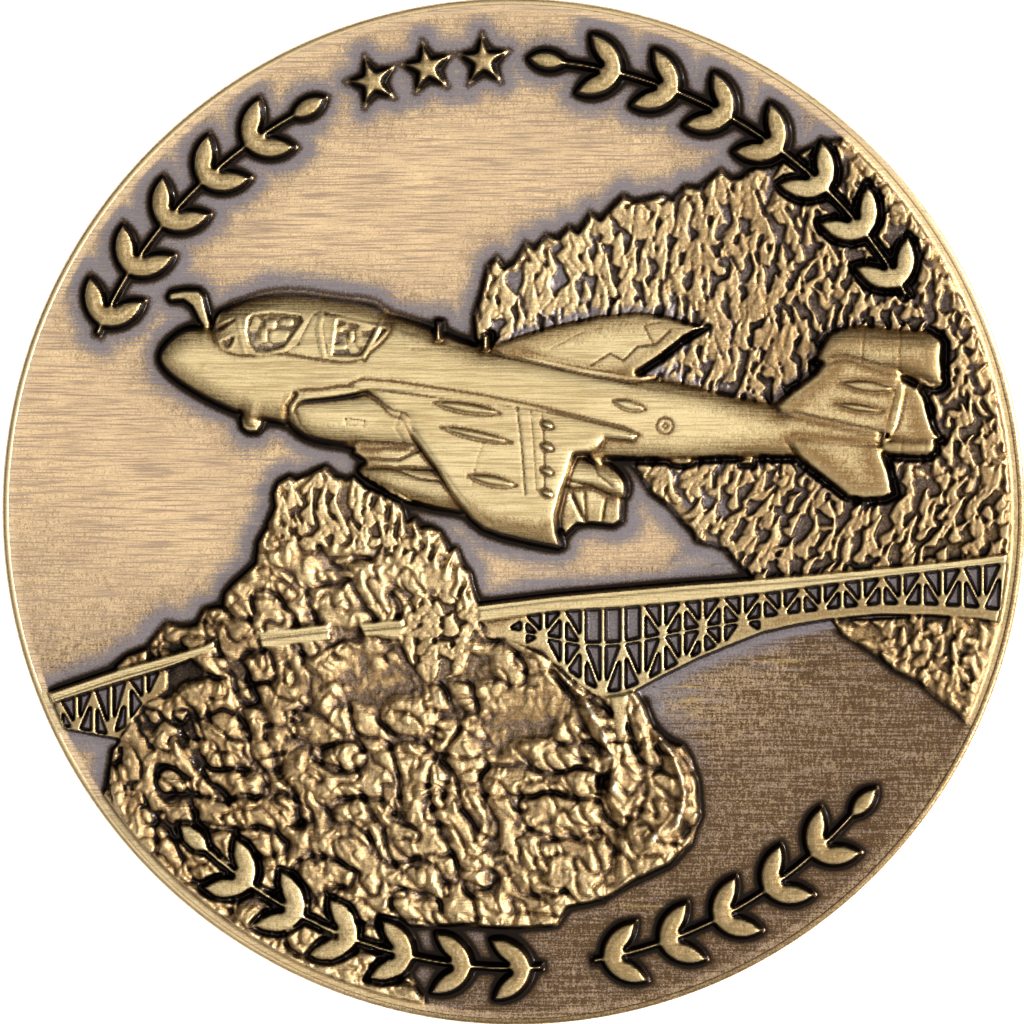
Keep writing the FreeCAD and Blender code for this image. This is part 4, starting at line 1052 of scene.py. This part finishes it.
def lathe(profile, steps=720):
    """Points, faces and UVs of a turned shape; each band of the profile has a strip of the UVs."""
    angles = np.linspace(0, 2 * math.pi, steps, endpoint=False)
    rings, points = [], []
    for r, z in profile:
        if r == 0:
            rings.append(np.full(steps, len(points)))
            points.append((0.0, 0.0, z))
        else:
            rings.append(len(points) + np.arange(steps))
            points.extend(zip(r * np.cos(angles), r * np.sin(angles), np.full(steps, z)))
    faces, uvs = [], []
    for band, (inner, outer) in enumerate(zip(rings[:-1], rings[1:])):
        low, high = (band + 0.1) / len(profile), (band + 0.9) / len(profile)
        for k in range(steps):
            n = (k + 1) % steps
            u0, u1 = k / steps, (k + 1) / steps
            loop = (int(inner[k]), int(outer[k]), int(outer[n]), int(inner[n]))
            corner_uv = dict(zip(loop, ((u0, low), (u0, high), (u1, high), (u1, low))))
            faces.append(list(corner_uv))
            uvs.extend(corner_uv.values())
    return points, faces, uvs


def turned_body():
    """The blank below the sculpted skin: recess, rim, edge, bevel and reverse field."""
    rim_z = float(field_height(SKIN_R, 0))
    points, faces, uvs = lathe((
        (0.0, FLOOR_Z - 0.02), (SKIN_R - 0.25, FLOOR_Z - 0.02), (SKIN_R - 0.02, rim_z - 0.06),
        (SKIN_R, rim_z), (22.03, rim_z + 0.004), (22.10, rim_z - 0.015), (22.17, rim_z - 0.05),
        (22.21, rim_z - 0.10), (22.225, rim_z - 0.17), (22.225, 0.60), (22.21, 0.50),
        (22.14, 0.42), (22.03, 0.34), (21.95, 0.30), (0.0, 0.30)))
    mesh = bpy.data.meshes.new("planchet_body")
    mesh.from_pydata([(x * MM, y * MM, z * MM) for x, y, z in points], [], faces)
    mesh.polygons.foreach_set("use_smooth", np.ones(len(mesh.polygons), bool))
    x, y, z = np.array(points).T
    side = z < rim_z - 0.08     # the edge and reverse; the rim's top is above
    # Painted shade: the rim's top is darker and less bright towards the lower right
    lower_right = ease(6, 22, x - y)
    dark = np.where(side, 0.12, 0.20 * lower_right)
    wear_and_glints = np.where(side, 0.2, 0.6 * (1 - lower_right))
    tone_and_shade = np.where(side, 1.0, rim_tone_and_shade(x, y) + 0.15)
    finish_and_light = np.column_stack([dark, wear_and_glints, np.zeros(len(x)), tone_and_shade])
    set_attribute(mesh, "finish_and_light", "FLOAT_COLOR", "POINT", "color", finish_and_light)
    mesh.update()
    set_uv(mesh, np.array(uvs))
    add_piece("planchet_body", mesh, EDGE_BRASS, "planchet")


turned_body()
for _name in ("reverse_border", "reverse_star", "reverse_wreath_left", "reverse_wreath_right"):
    _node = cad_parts[_name]
    _node.data.materials.clear()
    _node.data.materials.append(RELIEF_BRASS)


# ---------------- floor, light and camera

def stage_floor():
    mesh = bpy.data.meshes.new("floor")
    half = 0.6
    corners = [(-half, -half, 0), (half, -half, 0), (half, half, 0), (-half, half, 0)]
    mesh.from_pydata(corners, [], [(0, 1, 2, 3)])
    material = bpy.data.materials.new("pale_floor")
    material.use_nodes = True
    shader = material.node_tree.nodes["Principled BSDF"]
    set_inputs(shader, {"Base Color": (0.92, 0.92, 0.92, 1), "Roughness": 0.9, "Specular IOR Level": 0.1,
                        "Emission Color": (1, 1, 1, 1), "Emission Strength": 0.9})
    mesh.materials.append(material)
    add_object("floor", mesh)


def world_light():
    """Light tent: bright overhead, a little to the lower right, and dark towards the horizon."""
    world = bpy.data.worlds.new("tent")
    bpy.context.scene.world = world
    world.use_nodes = True
    nodes, links = world.node_tree.nodes, world.node_tree.links
    background = nodes["Background"]
    coordinates = nodes.new("ShaderNodeTexCoord")
    key = nodes.new("ShaderNodeVectorMath")
    key.operation = "DOT_PRODUCT"
    key.inputs[1].default_value = (0.26, -0.16, 0.95)
    links.new(coordinates.outputs["Generated"], key.inputs[0])
    ramp = nodes.new("ShaderNodeValToRGB")
    stops = ((0.0, 0.03), (0.25, 0.06), (0.55, 0.32), (0.80, 0.90), (1.0, 1.30))
    elements = ramp.color_ramp.elements
    for i, (position, level) in enumerate(stops):
        element = elements[i] if i < 2 else elements.new(position)
        element.position = position
        element.color = (level, level * 0.98, level * 0.95, 1)
    links.new(key.outputs["Value"], ramp.inputs[0])
    links.new(ramp.outputs[0], background.inputs[0])


def area_light(name, place, size, power):
    """Round lamp aimed at the coin; place and size in metres, power in watts."""
    light = bpy.data.lights.new(name, "AREA")
    light.shape = "DISK"
    light.size = size
    light.energy = power
    obj = add_object(name, light)
    x, y, z = place
    obj.location = place
    obj.rotation_euler = (math.atan2(math.hypot(x, y), z), 0, math.atan2(y, x) + math.pi / 2)


def camera():
    """Long lens, almost straight above, leaning a little to the right of the coin."""
    lean, azimuth, distance = math.radians(6.0), math.radians(20.0), 0.2474
    data = bpy.data.cameras.new("camera")
    data.lens = 200
    data.sensor_width = 36
    data.clip_start = 0.01
    obj = add_object("camera", data)
    z = np.array((math.sin(lean) * math.cos(azimuth), math.sin(lean) * math.sin(azimuth), math.cos(lean)))
    x = np.cross((0, 1, 0), z)
    x /= np.linalg.norm(x)
    y = np.cross(z, x)
    aim = np.array((0, 0, 0.0014))
    columns = np.column_stack([x, y, z, aim + z * distance])
    obj.matrix_world = Matrix(np.vstack([columns, (0, 0, 0, 1)]).tolist())
    bpy.context.scene.camera = obj


stage_floor()
world_light()
area_light("key", (0.30, -0.14, 0.20), 0.10, 1.0)
area_light("glint", (0.40, 0.08, 0.16), 0.05, 2.2)
camera()
bpy.context.scene.view_settings.view_transform = "Standard"
